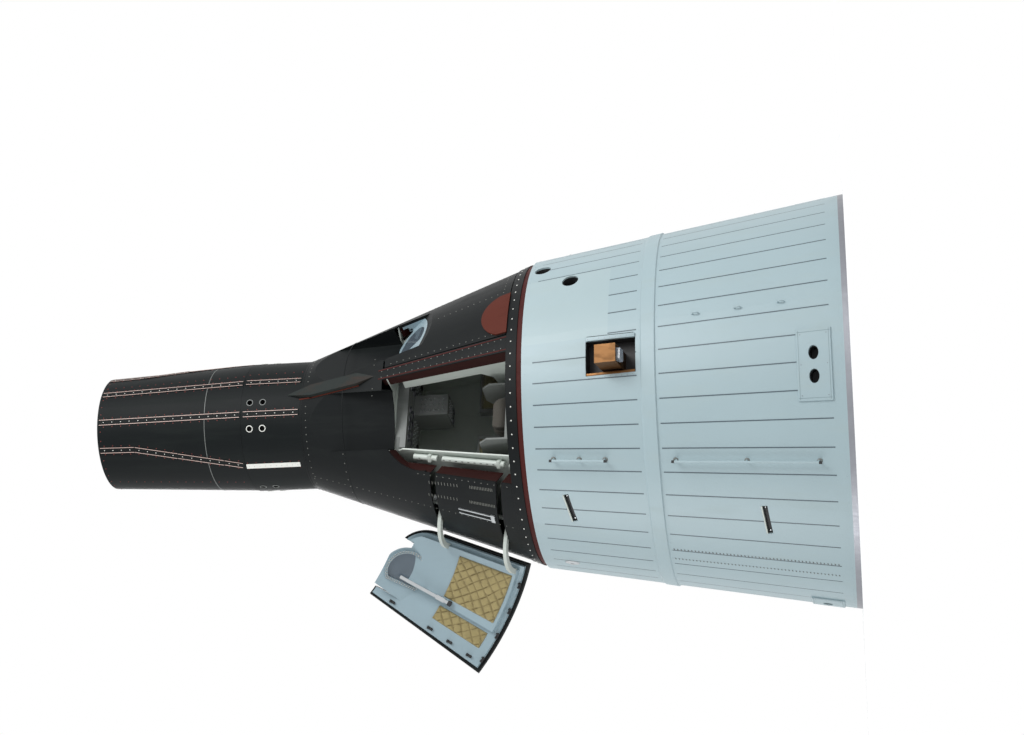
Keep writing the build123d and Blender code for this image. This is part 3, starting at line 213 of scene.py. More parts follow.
def polar(tree):
    """Angle from -Y in degrees, radius and height of the shaded point."""
    x, y, z = shader_node(tree, "ShaderNodeSeparateXYZ", {0: here(tree)})
    degrees = times(tree, calc(tree, "ARCTAN2", x, times(tree, y, -1.0)), 180.0 / math.pi)
    squares = calc(tree, "ADD", calc(tree, "POWER", x, 2.0), calc(tree, "POWER", y, 2.0))
    return degrees, calc(tree, "SQRT", squares), z


def between(tree, value, low, high, soft):
    """1 between two values, with soft edges."""
    over = remap(tree, calc(tree, "SUBTRACT", value, low), 0.0, soft)
    under = remap(tree, calc(tree, "SUBTRACT", high, value), 0.0, soft)
    return times(tree, over, under)


def new_group(make, **inputs):
    """Node group named after the function make(tree, entry), which gives its outputs by name.

    Underscores in an input's name stand for spaces. A name that ends in Colour is a colour, all others are values."""
    tree = bpy.data.node_groups.new(make.__name__.capitalize(), "ShaderNodeTree")

    def add_socket(label, way):
        kind = "NodeSocketColor" if label.endswith("Colour") else "NodeSocketFloat"
        return tree.interface.new_socket(label, in_out=way, socket_type=kind)

    for key, value in inputs.items():
        add_socket(key.replace("_", " "), "INPUT").default_value = value
    results = make(tree, tree.nodes.new("NodeGroupInput").outputs)
    for label in results:
        add_socket(label, "OUTPUT")
    link_or_set(tree, tree.nodes.new("NodeGroupOutput").inputs, results)
    return tree


def use_group(tree, group_tree, **inputs):
    """Puts a node group in a tree and returns its outputs. Underscores in a name stand for spaces."""
    made = tree.nodes.new("ShaderNodeGroup")
    made.node_tree = group_tree
    link_or_set(tree, made.inputs, {key.replace("_", " "): value for key, value in inputs.items()})
    return made.outputs


def tone(tree, entry):
    """Slow brightness changes over a surface, such as paint that has aged unevenly."""
    centred = calc(tree, "SUBTRACT", clouds(tree, here(tree), entry["Scale"], 5.0)[0], 0.5)
    swing = times(tree, centred, times(tree, entry["Spread"], 2.0))
    inputs = {0: entry["Colour"], "Scale": calc(tree, "ADD", swing, 1.0)}
    return {"Toned Colour": shader_node(tree, "ShaderNodeVectorMath", inputs, operation="SCALE")[0]}


def streaks(tree, entry):
    """Stains that run along the long axis, 0 to 1."""
    cloud = clouds(tree, drawn_out(tree, (1.0, 1.0, 0.12)), entry["Scale"], 6.0, 0.65)[0]
    return {"Mask": remap(tree, cloud, entry["Low"], entry["High"])}


def speckle(tree, entry):
    """Small spots and dust, 0 to 1."""
    return {"Mask": remap(tree, clouds(tree, here(tree), entry["Scale"], 8.0, 0.7)[0], entry["Low"], entry["High"])}


def grain(tree, entry):
    """Fine unevenness of a coat of paint or a rolled sheet, as a height."""
    fine = clouds(tree, here(tree), entry["Scale"], 3.0)[0]
    wavy = clouds(tree, here(tree), entry["Waviness"], 2.0)[0]
    return {"Height": calc(tree, "MULTIPLY_ADD", wavy, 4.0, fine)}


def patch(tree, entry):
    """1 inside a patch of the skin between two angles and two heights."""
    degrees, _, height = polar(tree)
    round_way = between(tree, degrees, entry["Angle Low"], entry["Angle High"], 0.15)
    up_way = between(tree, height, entry["Height Low"], entry["Height High"], 0.004)
    return {"Mask": times(tree, round_way, up_way)}


def seams(tree, entry):
    """Thin lines along the skin at even angles, between two heights."""
    degrees, radius, height = polar(tree)
    step = calc(tree, "DIVIDE", 360.0, entry["Count"])
    turned = calc(tree, "DIVIDE", calc(tree, "ADD", degrees, entry["Phase"]), step)
    offset = calc(tree, "ABSOLUTE", calc(tree, "SUBTRACT", turned, calc(tree, "ROUND", turned)))
    distance = times(tree, times(tree, times(tree, offset, step), math.pi / 180.0), radius)
    line = calc(tree, "LESS_THAN", distance, entry["Half Width"])
    return {"Mask": times(tree, line, between(tree, height, entry["Height Low"], entry["Height High"], 0.002))}


def crinkle(tree, entry):
    """Creased foil: facets at two sizes, drawn out along the long axis, as a height and as a shade, which is painted
    shade along the creases and a painted reflection tone on each facet.
    """
    place = drawn_out(tree, (1.2, 1.2, 0.45))
    cloud, tint = clouds(tree, place, 5.0, 4.0)
    bent = shader_node(tree, "ShaderNodeVectorMath", {0: tint, "Scale": 0.18}, operation="SCALE")[0]
    moved = shader_node(tree, "ShaderNodeVectorMath", {0: place, 1: bent}, operation="ADD")[0]
    large = shader_node(tree, "ShaderNodeTexVoronoi", {"Vector": moved, "Scale": entry["Scale"]})
    small_inputs = {"Vector": moved, "Scale": times(tree, entry["Scale"], 3.7)}
    small = shader_node(tree, "ShaderNodeTexVoronoi", small_inputs)
    # Painted reflection: each facet gets a tone of its own
    facet_reflection_tone = shader_node(tree, "ShaderNodeSeparateColor", {0: large[1]})[0]
    # Painted shade: thin dark lines along the creases
    crease = calc(tree, "ABSOLUTE", calc(tree, "SUBTRACT", cloud, 0.5))
    crease_shade = remap(tree, crease, 0.0, 0.035, 1.0, 0.0)
    return {"Height": calc(tree, "MULTIPLY_ADD", small[0], 0.22, large[0]),
            "Shade": calc(tree, "MULTIPLY_ADD", facet_reflection_tone, 0.22, times(tree, crease_shade, 0.42))}


def weave(tree, entry):
    """Plain weave of cloth, as a height."""
    inputs = {"Vector": here(tree), "Scale": entry["Threads"], "Distortion": 0.6}
    waves = [shader_node(tree, "ShaderNodeTexWave", inputs, bands_direction=way)[1] for way in ("X", "Y", "Z")]
    return {"Height": times(tree, calc(tree, "ADD", waves[0], waves[1]), waves[2])}


TONE = new_group(tone, Colour=(1, 1, 1, 1), Spread=0.06, Scale=2.0)
STREAKS = new_group(streaks, Scale=9.0, Low=0.5, High=0.8)
SPECKLE = new_group(speckle, Scale=60.0, Low=0.62, High=0.72)
GRAIN = new_group(grain, Scale=180.0, Waviness=3.0)
PATCH = new_group(patch, Angle_Low=-3.0, Angle_High=25.0, Height_Low=1.66, Height_High=2.4)
SEAMS = new_group(seams, Count=48.0, Phase=2.6, Half_Width=0.003, Height_Low=0.1, Height_High=1.3)
CRINKLE = new_group(crinkle, Scale=14.0)
WEAVE = new_group(weave, Threads=700.0)


# Materials
def rgb(red, green, blue):
    """Scene colour from a picture's 0 to 255 values."""
    shares = [value / 255.0 for value in (red, green, blue)]
    return (*(share / 12.92 if share <= 0.04045 else ((share + 0.055) / 1.055) ** 2.4 for share in shares), 1.0)


def new_material(name):
    """A new material, its node tree and its surface's inputs."""
    made = bpy.data.materials.new(name)
    made.use_nodes = True
    return made, made.node_tree, made.node_tree.nodes["Principled BSDF"].inputs


def bumped(tree, height, distance, strength):
    """Surface direction over a height."""
    return shader_node(tree, "ShaderNodeBump", {"Height": height, "Distance": distance, "Strength": strength})[0]


def paint(name, colour, roughness, spread, stain, stain_share, coat=0.0, gloss=0.5):
    """Painted sheet with uneven tone and long stains."""
    made, tree, surface = new_material(name)
    toned = use_group(tree, TONE, Colour=colour, Spread=spread, Scale=1.7)[0]
    stains = use_group(tree, STREAKS, Scale=9.0, Low=0.5, High=0.85)[0]
    coarse = use_group(tree, GRAIN, Scale=220.0, Waviness=3.0)[0]
    link_or_set(tree, surface, {"Base Color": mixed(tree, times(tree, stains, stain_share), toned, stain),
                                "Roughness": remap(tree, stains, 0.0, 1.0, roughness, roughness + 0.18),
                                "Coat Weight": coat, "Specular IOR Level": gloss,
                                "Normal": bumped(tree, coarse, 0.0012, 0.35)})
    return made


def lined_paint(name, colour, line_colour, height_low, height_high, bare=None):
    """The adapter's paint, with its stringer seams, painted shade in a band beside each seam and, where bare is given,
    a patch without either.
    """
    made, tree, surface = new_material(name)
    toned = use_group(tree, TONE, Colour=colour, Spread=0.045, Scale=1.3)[0]
    stains = use_group(tree, STREAKS, Scale=7.0, Low=0.52, High=0.9)[0]
    stained = mixed(tree, times(tree, stains, 0.16), toned, ADAPTER_STAIN)
    ends = {"Height_Low": height_low, "Height_High": height_high}
    lines = use_group(tree, SEAMS, Half_Width=0.0042, **ends)[0]
    soft = use_group(tree, SEAMS, Half_Width=0.010, **ends)[0]
    if bare is not None:
        names = ("Angle_Low", "Angle_High", "Height_Low", "Height_High")
        plain = use_group(tree, PATCH, **dict(zip(names, bare)))[0]
        open_part = calc(tree, "SUBTRACT", 1.0, plain)
        lines = times(tree, lines, open_part)
        soft = times(tree, soft, open_part)
        stained = mixed(tree, times(tree, plain, 0.10), stained, rgb(196, 208, 200))
    # Painted shade: a faint, wider band beside each seam
    shaded = mixed(tree, times(tree, soft, 0.14), stained, rgb(120, 136, 142))
    coarse = use_group(tree, GRAIN, Scale=220.0, Waviness=2.2)[0]
    height = calc(tree, "SUBTRACT", coarse, times(tree, lines, 2.5))
    link_or_set(tree, surface, {"Base Color": mixed(tree, times(tree, lines, 0.88), shaded, line_colour),
                                "Roughness": remap(tree, stains, 0.0, 1.0, 0.42, 0.6),
                                "Normal": bumped(tree, height, 0.0014, 0.5)})
    return made


def metal(name, colour, roughness):
    """Bare metal with fine marks."""
    made, tree, surface = new_material(name)
    marks = use_group(tree, STREAKS, Scale=60.0, Low=0.35, High=0.8)[0]
    coarse = use_group(tree, GRAIN, Scale=300.0, Waviness=20.0)[0]
    link_or_set(tree, surface, {"Base Color": use_group(tree, TONE, Colour=colour, Spread=0.08, Scale=14.0)[0],
                                "Metallic": 1.0,
                                "Roughness": remap(tree, marks, 0.0, 1.0, roughness, roughness + 0.22),
                                "Normal": bumped(tree, coarse, 0.0004, 0.5)})
    return made


def foil(name, colour, shade_colour, scale, depth, roughness, other=None):
    """Creased metal foil, rougher in places, with painted shade in its creases and painted reflection tones on its
    facets, and another colour between two angles where given.
    """
    made, tree, surface = new_material(name)
    height, shade = use_group(tree, CRINKLE, Scale=scale)
    toned = use_group(tree, TONE, Colour=colour, Spread=0.12, Scale=2.5)[0]
    if other is not None:
        low, high, other_colour = other
        part = use_group(tree, PATCH, Angle_Low=low, Angle_High=high, Height_Low=-1.0, Height_High=3.0)[0]
        toned = mixed(tree, part, toned, other_colour)
    # Painted shade and painted reflection: the crinkle's shade darkens the foil towards its shade colour
    link_or_set(tree, surface, {"Base Color": mixed(tree, times(tree, shade, 0.55), toned, shade_colour),
                                "Metallic": 0.92,
                                "Roughness": remap(tree, shade, 0.0, 1.0, roughness, roughness + 0.2),
                                "Normal": bumped(tree, height, depth, 0.8)})
    return made


def cloth(name, colour, dust_and_shade_colour, threads=420.0, roughness=0.85, sheen=0.25):
    """Woven cloth, darker and dustier in places, with painted shade along its sewn channels."""
    made, tree, surface = new_material(name)
    toned = use_group(tree, TONE, Colour=colour, Spread=0.12, Scale=7.0)[0]
    soil = use_group(tree, SPECKLE, Scale=11.0, Low=0.45, High=0.75)[0]
    soiled = mixed(tree, times(tree, soil, 0.35), toned, dust_and_shade_colour)
    sewn = shader_node(tree, "ShaderNodeAttribute", {}, attribute_name="sewn")["Fac"]
    threading = use_group(tree, WEAVE, Threads=threads)[0]
    # Painted shade: darker along the sewn channels, where the pad is pulled in
    link_or_set(tree, surface, {"Base Color": mixed(tree, times(tree, sewn, 0.6), soiled, dust_and_shade_colour),
                                "Roughness": roughness, "Sheen Weight": sheen,
                                "Normal": bumped(tree, threading, 0.0009, 0.6)})
    return made


def clear_glass(name, colour, clear):
    """Slightly smeared glass."""
    made, tree, surface = new_material(name)
    smear = use_group(tree, SPECKLE, Scale=9.0, Low=0.4, High=0.9)[0]
    link_or_set(tree, surface, {"Base Color": colour, "Roughness": remap(tree, smear, 0.0, 1.0, 0.03, 0.14),
                                "Transmission Weight": clear, "IOR": 1.47})
    return made


SEAM_DARK = rgb(50, 64, 74)
ADAPTER_TONE = rgb(156, 176, 182)
ADAPTER_STAIN = rgb(168, 170, 150)
ADAPTER_WHITE = paint("adapter_white", ADAPTER_TONE, 0.45, 0.045, ADAPTER_STAIN, 0.16)
ADAPTER_LOW = lined_paint("adapter_lined_low", ADAPTER_TONE, SEAM_DARK, 0.13, BAND_LOW_Z - 0.018)
ADAPTER_HIGH = lined_paint("adapter_lined_high", ADAPTER_TONE, SEAM_DARK, BAND_HIGH_Z + 0.025, 2.205,
                           (-3.4, 27.0, 1.66, 2.4))
BLACK_SKIN = paint("skin_black", rgb(19, 22, 23), 0.46, 0.22, rgb(46, 50, 48), 0.32, gloss=0.10)
NOSE_BLACK = paint("nose_black", rgb(17, 21, 22), 0.5, 0.24, rgb(44, 50, 47), 0.36, gloss=0.10)
RED_EDGE = paint("red_edge", rgb(66, 24, 21), 0.6, 0.14, rgb(34, 18, 16), 0.4, gloss=0.15)
BROWN_RED = paint("brown_red", rgb(82, 36, 26), 0.65, 0.18, rgb(50, 24, 19), 0.5, gloss=0.15)
RIDGE_GREY = paint("ridge_grey", rgb(38, 43, 42), 0.55, 0.16, rgb(84, 54, 42), 0.5, gloss=0.12)
CABIN_WHITE = paint("cabin_white", rgb(190, 198, 192), 0.42, 0.05, rgb(150, 152, 140), 0.18)
CABIN_GREY = paint("cabin_grey", rgb(112, 116, 114), 0.5, 0.10, rgb(60, 62, 58), 0.3)
HATCH_BLUE = paint("hatch_inner", rgb(140, 161, 170), 0.34, 0.06, rgb(112, 132, 140), 0.28, coat=0.15)
COAMING = paint("coaming", rgb(44, 20, 18), 0.6, 0.14, rgb(28, 17, 15), 0.4, gloss=0.12)
DARK = paint("dark", rgb(24, 25, 27), 0.6, 0.15, rgb(50, 50, 48), 0.2)
PALE_PINK = paint("strap_edge", rgb(196, 172, 164), 0.5, 0.12, rgb(120, 70, 62), 0.3)
RIVET_WHITE = paint("rivet_white", rgb(226, 228, 222), 0.4, 0.05, rgb(160, 150, 140), 0.2)
RIVET_DULL = paint("rivet_dull", rgb(118, 120, 114), 0.45, 0.15, rgb(60, 58, 54), 0.3)
RIVET_RED = paint("rivet_red", rgb(128, 50, 44), 0.5, 0.15, rgb(60, 30, 28), 0.3)
SEAM_PAINT = paint("seam_paint", rgb(126, 144, 150), 0.5, 0.08, rgb(80, 88, 90), 0.2)
SCREW_WELL_SHADE = paint("painted_well_shade", rgb(70, 84, 92), 0.5, 0.08, rgb(50, 60, 64), 0.2)
RING_METAL = metal("ring_metal", rgb(142, 144, 150), 0.34)
STEEL = metal("steel", rgb(186, 190, 192), 0.26)
COPPER = foil("copper", rgb(112, 80, 50), rgb(78, 55, 34), 9.0, 0.0016, 0.42)
GOLD = foil("gold_foil", rgb(196, 182, 88), rgb(98, 92, 38), 8.0, 0.022, 0.14,
            (63.0, 117.0, rgb(150, 158, 138)))
SILVER_FOIL = foil("silver_foil", rgb(176, 184, 170), rgb(96, 104, 92), 12.0, 0.018, 0.2)
PALE_TAPE = foil("pale_tape", rgb(206, 204, 176), rgb(150, 146, 110), 40.0, 0.004, 0.3)
TAN_CLOTH = cloth("pad_fabric", rgb(156, 142, 96), rgb(112, 98, 60))
OLIVE_CLOTH = cloth("seat_cloth", rgb(116, 112, 80), rgb(66, 64, 46))
DARK_LEATHER = cloth("dark_leather", rgb(62, 58, 50), rgb(34, 32, 28), 260.0, 0.6, 0.1)
GLASS = clear_glass("glass", rgb(88, 100, 110), 0.22)
LENS_GLASS = clear_glass("lens_glass", rgb(170, 180, 190), 0.4)


def dress(prefix, looks):
    """Gives CAD nodes their materials."""
    for material, names in looks:
        for name in names.split():
            worn = frame["nodes"][prefix + name].data.materials
            worn.clear()
            worn.append(material)


dress("", ((RING_METAL, "base_ring"), (ADAPTER_LOW, "equipment_section"), (ADAPTER_HIGH, "retro_section"),
           (ADAPTER_WHITE, "separation_band thruster_panels guide_loops handrails"),
           (DARK, "adapter_thrusters cylinder_thrusters sensor_well curtain_port"), (GOLD, "foil_curtain"),
           (COPPER, "equipment_box sensor_head"), (LENS_GLASS, "sensor_lens"), (RED_EDGE, "heat_shield"),
           (BLACK_SKIN, "cabin_aft_ring cabin_skin window_troughs"), (RIDGE_GREY, "cabin_ridge"),
           (BROWN_RED, "cable_cover"), (COAMING, "hatch_coamings"),
           (CABIN_WHITE, "cabin_tub aft_bulkhead forward_bulkhead centre_web hatch_sills"),
           (CABIN_GREY, "light_recesses seats headrests instrument_panel centre_console"),
           (STEEL, "hatch_bearings hinge_rails"), (RIVET_WHITE, "cylinder_bars"),
           (NOSE_BLACK, "thruster_section nose_section nose_cap nose_straps cylinder_straps"),
           (OLIVE_CLOTH, "seat_cushions side_pads")))
for side in HATCH_PLACES:
    dress(side + "_", ((BLACK_SKIN, "skin"), (HATCH_BLUE, "pan window_frame"), (CABIN_WHITE, "arms"),
                       (GLASS, "glass"), (TAN_CLOTH, "pads"), (STEEL, "latch_bar")))


# Shapes
def as_mesh(bm):
    mesh = bpy.data.meshes.new("shape")
    bm.to_mesh(mesh)
    bm.free()
    return mesh


def moved_mesh(mesh, place):
    """Copy of a mesh at another place, turned right side out if the place mirrors it."""
    copy = mesh.copy()
    copy.transform(place)
    if place.determinant() < 0:
        copy.flip_normals()
    return copy


def joined(meshes):
    """One mesh out of several."""
    bm = bmesh.new()
    for mesh in meshes:
        bm.from_mesh(mesh)
    return as_mesh(bm)


def stamped(template, places):
    """One mesh with a copy of a template at each place."""
    copies = [moved_mesh(template, place) for place in places]
    mesh = joined(copies)
    for copy in copies:
        bpy.data.meshes.remove(copy)
    return mesh


def rivet_head(radius, height, sides=8):
    """Low rivet head that stands on z = 0."""
    bm = bmesh.new()
    bmesh.ops.create_cone(bm, cap_ends=True, segments=sides, radius1=radius, radius2=radius * 0.62, depth=height)
    bmesh.ops.translate(bm, verts=bm.verts, vec=(0, 0, height / 2))
    return as_mesh(bm)


def block(size, middle=(0, 0, 0), bevel=0.0, segments=2):
    """Box, with rounded edges where a bevel is given."""
    bm = bmesh.new()
    bmesh.ops.create_cube(bm, size=1.0)
    bmesh.ops.scale(bm, vec=size, verts=bm.verts)
    if bevel:
        bmesh.ops.bevel(bm, geom=bm.edges[:], offset=bevel, affect="EDGES", segments=segments, profile=0.5,
                        material=-1)
    bmesh.ops.translate(bm, verts=bm.verts, vec=middle)
    return as_mesh(bm)


def spun(profile, steps):
    """Solid of revolution about z of a closed (radius, height) outline."""
    bm = bmesh.new()
    corners = [bm.verts.new((radius, 0.0, z)) for radius, z in profile]
    edges = [bm.edges.new((corners[i - 1], corners[i])) for i in range(len(corners))]
    bmesh.ops.spin(bm, geom=corners + edges, cent=(0, 0, 0), axis=(0, 0, 1), angle=2 * math.pi, steps=steps,
                   use_merge=True)
    bmesh.ops.remove_doubles(bm, verts=bm.verts, dist=1e-6)
    bmesh.ops.recalc_face_normals(bm, faces=bm.faces)
    return as_mesh(bm)


def rod_between(start, end, radius, sides=10):
    """Round bar between two points."""
    bm = bmesh.new()
    start, end = Vector(start), Vector(end)
    run = end - start
    bmesh.ops.create_cone(bm, cap_ends=True, segments=sides, radius1=radius, radius2=radius, depth=run.length)
    place = run.to_track_quat("Z", "Y").to_matrix().to_4x4()
    place.translation = (start + end) / 2
    bmesh.ops.transform(bm, matrix=place, verts=bm.verts)
    return as_mesh(bm)


def finished(name, mesh, material, body="capsule", smooth_angle=35.0):
    """Puts a mesh in the scene as a piece that rides on a body."""
    mesh.shade_smooth()
    mesh.set_sharp_from_angle(angle=math.radians(smooth_angle))
    mesh.materials.clear()
    mesh.materials.append(material)
    piece = bpy.data.objects.new(name, mesh)
    bpy.context.scene.collection.objects.link(piece)
    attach(piece, body)
    return piece


def both_hatches(name, mesh, material):
    """The same piece on each hatch, where that hatch is."""
    for body, place in HATCH_PLACES.items():
        finished(body + "_" + name, moved_mesh(mesh, place), material, body)


# Row of rivets round the cabin's aft ring
AFT_RIVET_COUNT = 72
AFT_RIVET_Z = 2.370
AFT_RING_PROUD = 0.006
aft_places = [on_skin(cabin, 360.0 * index / AFT_RIVET_COUNT, AFT_RIVET_Z, AFT_RING_PROUD)
              for index in range(AFT_RIVET_COUNT)]
finished("aft_ring_rivets", stamped(rivet_head(0.0058, 0.003), aft_places), RIVET_WHITE)

# Nose straps: pale edge lines and a row of white rivets on each, red rivets on both sides
STRAP_RUNS = ((nose, -16.0, 5.680, -16.0, 4.550), (nose, -44.5, 5.680, -44.5, 5.405),
              (nose, -44.5, 5.400, -52.0, 5.065), (nose, -52.0, 5.060, -60.0, 4.705),
              (nose, -60.0, 4.700, -63.3, 4.560), (cylinder, -16.0, 4.520, -16.0, 4.095))
STRAP_EDGE = 0.0195
STRAP_EDGE_SIZE = (0.0042, 0.002)
STRAP_PROUD = 0.0045
STRAP_PITCH = 0.072
SIDE_ROW = 0.034
RIVET_SINK = 0.0008
SIDE_RIVET_SINK = 0.0012
edge_places = []
white_places = []
red_places = []
for skin, angle_a, z_a, angle_b, z_b in STRAP_RUNS:
    start = spot(angle_a, skin(z_a), z_a)
    end = spot(angle_b, skin(z_b), z_b)
    run = end - start
    middle = on_skin(skin, (angle_a + angle_b) / 2, (z_a + z_b) / 2)
    along = run.normalized()
    across = middle.to_3x3().col[2].cross(along).normalized()
    outward = along.cross(across)
    sag = (middle.translation - (start + end) / 2).dot(outward)
    count = max(1, round(run.length / STRAP_PITCH))
    for far in (Matrix.Identity(4), MIRROR):
        for way in (-1, 1):
            edge = (start + end) / 2 + outward * (sag + STRAP_PROUD) + across * way * STRAP_EDGE
            edge_places.append(far @ axes_at(edge, along, across, outward) @ stretch(run.length, *STRAP_EDGE_SIZE))
        for index in range(count):
            point = start + run * (index + 0.5) / count + outward * sag
            raised = point + outward * (STRAP_PROUD - RIVET_SINK)
            white_places.append(far @ axes_at(raised, along, across, outward))
            for way in (-1, 1):
                beside = point + across * way * SIDE_ROW - outward * SIDE_RIVET_SINK
                red_places.append(far @ axes_at(beside, along, across, outward))
finished("strap_edges", stamped(block((1, 1, 1)), edge_places), PALE_PINK)
finished("strap_rivets", stamped(rivet_head(0.0042, 0.0022), white_places), RIVET_WHITE)

# Other rivet rows on the nose, each given by its two ends and repeated on the far side
RED_ROWS = ((nose, 26.0, 5.66, 26.0, 4.56), (cylinder, 27.0, 4.51, 28.0, 4.10), (nose, -86.0, 5.60, -86.0, 4.60),
            (cylinder, -60.8, 4.52, -60.8, 4.12), (cylinder, -67.4, 4.52, -67.4, 4.12),
            (nose, -16.0, 5.67, 26.0, 5.67), (nose, 26.0, 5.67, 134.0, 5.67), (nose, -44.5, 5.67, -16.0, 5.67))
RED_PITCH = 0.066
for run in RED_ROWS:
    red_places += both_sides(row(*run, RED_PITCH), HALF_TURN)
finished("nose_rivets", stamped(rivet_head(0.0040, 0.0020), red_places), RIVET_RED)

# Seams round the nose and the cabin
SEAM_PROUD = 0.0016
for name, skin, z in (("nose_seam", nose, 4.83), ("cylinder_seam", nose, NOSE_LOW_Z + 0.006),
                      ("cabin_front_seam", cabin, CYLINDER_LOW_Z - 0.012), ("cabin_seam", cabin, 3.72)):
    outline = ((skin(z) - 0.001, z - 0.003), (skin(z) + SEAM_PROUD, z - 0.002), (skin(z) + SEAM_PROUD, z + 0.002),
               (skin(z) - 0.001, z + 0.003))
    finished(name, spun(outline, 96), CABIN_GREY if "nose" in name else BLACK_SKIN)

# Adapter: corrugated strips seen as rows of short ribs, grey to paint the shadows of the corrugation
rib_places = rows(adapter, ((-77.0, 0.15, -77.0, 1.29), (-82.0, 0.15, -82.0, 1.29)), 0.025)
rib_places = both_sides([place @ rotation(25.0) for place in rib_places])
finished("adapter_ribs", stamped(block((0.014, 0.006, 0.007), (0, 0, 0.0015), 0.002, 1), rib_places),
         CABIN_GREY)


# Soft pads: closed forms that the cloth solver puffs up between their sewn channels
SEWN_REACH = 0.55
SEWN_RISE = 0.45


def pad_grid(point, width, length, height, channel, step, rim=0.022, slack=0.62):
    """Closed pad and its held points: point(u, v, h) is a place, channel(u, v) how far a sewn channel is."""
    columns = max(4, round(width / step))
    lines = max(4, round(length / step))
    bm = bmesh.new()
    sewn_layer = bm.verts.layers.float.new("sewn")
    held = []
    top = {}
    bottom = {}
    for j in range(lines + 1):
        for i in range(columns + 1):
            u = width * i / columns
            v = length * j / lines
            inset = min(u, v, width - u, length - v)
            edge = math.sqrt(1.0 - max(0.0, 1.0 - inset / rim) ** 2)
            sewn = channel(u, v) < step * SEWN_REACH
            raised = height * slack * edge * (SEWN_RISE if sewn else 1.0)
            top[i, j] = bottom[i, j] = bm.verts.new(point(u, v, raised))
            top[i, j][sewn_layer] = 1.0 if sewn else 0.0
            at_rim = inset < 1e-6
            if at_rim or sewn:
                held.append(len(bm.verts) - 1)
            if not at_rim:
                bottom[i, j] = bm.verts.new(point(u, v, 0.0))
                held.append(len(bm.verts) - 1)
    for j in range(lines):
        for i in range(columns):
            corners = ((i, j), (i + 1, j), (i + 1, j + 1), (i, j + 1))
            bm.faces.new([top[corner] for corner in corners])
            if any(bottom[corner] is not top[corner] for corner in corners):
                bm.faces.new([bottom[corner] for corner in reversed(corners)])
    bmesh.ops.recalc_face_normals(bm, faces=bm.faces)
    return as_mesh(bm), held


def puffed(pad, pressure, cap, frames=16):
    """A pad's mesh after the cloth solver has blown it up, no point moved further than the cap."""
    mesh, held = pad
    scene = bpy.context.scene
    cloth_object = bpy.data.objects.new("pad_in_making", mesh)
    scene.collection.objects.link(cloth_object)
    group = cloth_object.vertex_groups.new(name="held")
    group.add(held, 1.0, "REPLACE")
    solver = cloth_object.modifiers.new("Cloth", "CLOTH")
    solver.settings.vertex_group_mass = "held"
    solver.settings.use_pressure = True
    solver.settings.uniform_pressure_force = pressure
    solver.settings.effector_weights.gravity = 0.0
    solver.settings.mass = 0.3
    solver.point_cache.frame_start = 1
    solver.point_cache.frame_end = frames
    for number in range(1, frames + 1):
        scene.frame_set(number)
    blown = bpy.data.meshes.new_from_object(cloth_object.evaluated_get(bpy.context.evaluated_depsgraph_get()))
    for before, after in zip(mesh.vertices, blown.vertices):
        move = after.co - before.co
        if move.length > cap:
            after.co = before.co + move * (cap / move.length)
    bpy.data.objects.remove(cloth_object)
    scene.frame_set(1)
    return blown


def soft_piece(name, mesh, material, body, nodes):
    """Pad that stands for CAD nodes, which it hides."""
    piece = finished(name, mesh, material, body, 180.0)
    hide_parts(*nodes)


def lying(x, y, z):
    """Places on a pad that lies level from a corner."""
    return lambda u, v, h: Vector((x + u, y + v, z + h))


def diamonds(pitch):
    """Distance to the nearest channel of a diamond quilt, its lines wavering a little as sewn by hand."""
    def away(u, v):
        u, v = u + 0.004 * math.sin(v * 31.0), v + 0.004 * math.sin(u * 27.0 + 1.0)
        first = (u + v) / pitch
        second = (u - v) / pitch
        return min(abs(first - round(first)), abs(second - round(second))) * pitch / math.sqrt(2.0)
    return away


def bands(pitch, offset=0.0):
    """Distance to the nearest channel of straight sewn bands across the pad."""
    def away(u, v):
        share = (v + offset) / pitch
        return abs(share - round(share)) * pitch
    return away


# Quilted pads on each hatch: angles, heights and depth under the skin
TRAY_DEPTH = 0.046
PAN_DEPTH = 0.084
PAD_HEIGHT = 0.024
HATCH_PADS = ((-48.0, -24.5, 2.486, 2.890, PAN_DEPTH), (-19.5, -12.0, 2.500, 2.900, TRAY_DEPTH))
hatch_pad_meshes = []
for angle_a, angle_b, z_a, z_b, depth in HATCH_PADS:
    middle_radius = cabin((z_a + z_b) / 2) - depth

    def on_hatch(u, v, h, angle_a=angle_a, z_a=z_a, depth=depth, middle_radius=middle_radius):
        z = z_a + v * math.cos(CABIN_LEAN)
        return spot(angle_a + math.degrees(u / middle_radius), cabin(z) - depth - h, z)

    pad_width = math.radians(angle_b - angle_a) * middle_radius
    pad_length = (z_b - z_a) / math.cos(CABIN_LEAN)
    pad = pad_grid(on_hatch, pad_width, pad_length, PAD_HEIGHT, diamonds(0.086), step=0.0066)
    hatch_pad_meshes.append(puffed(pad, pressure=5.0, cap=0.011))
for body, place in HATCH_PLACES.items():
    copy = moved_mesh(joined(hatch_pad_meshes), place)
    soft_piece(body + "_quilted_pads", copy, TAN_CLOTH, body, [body + "_pads"])

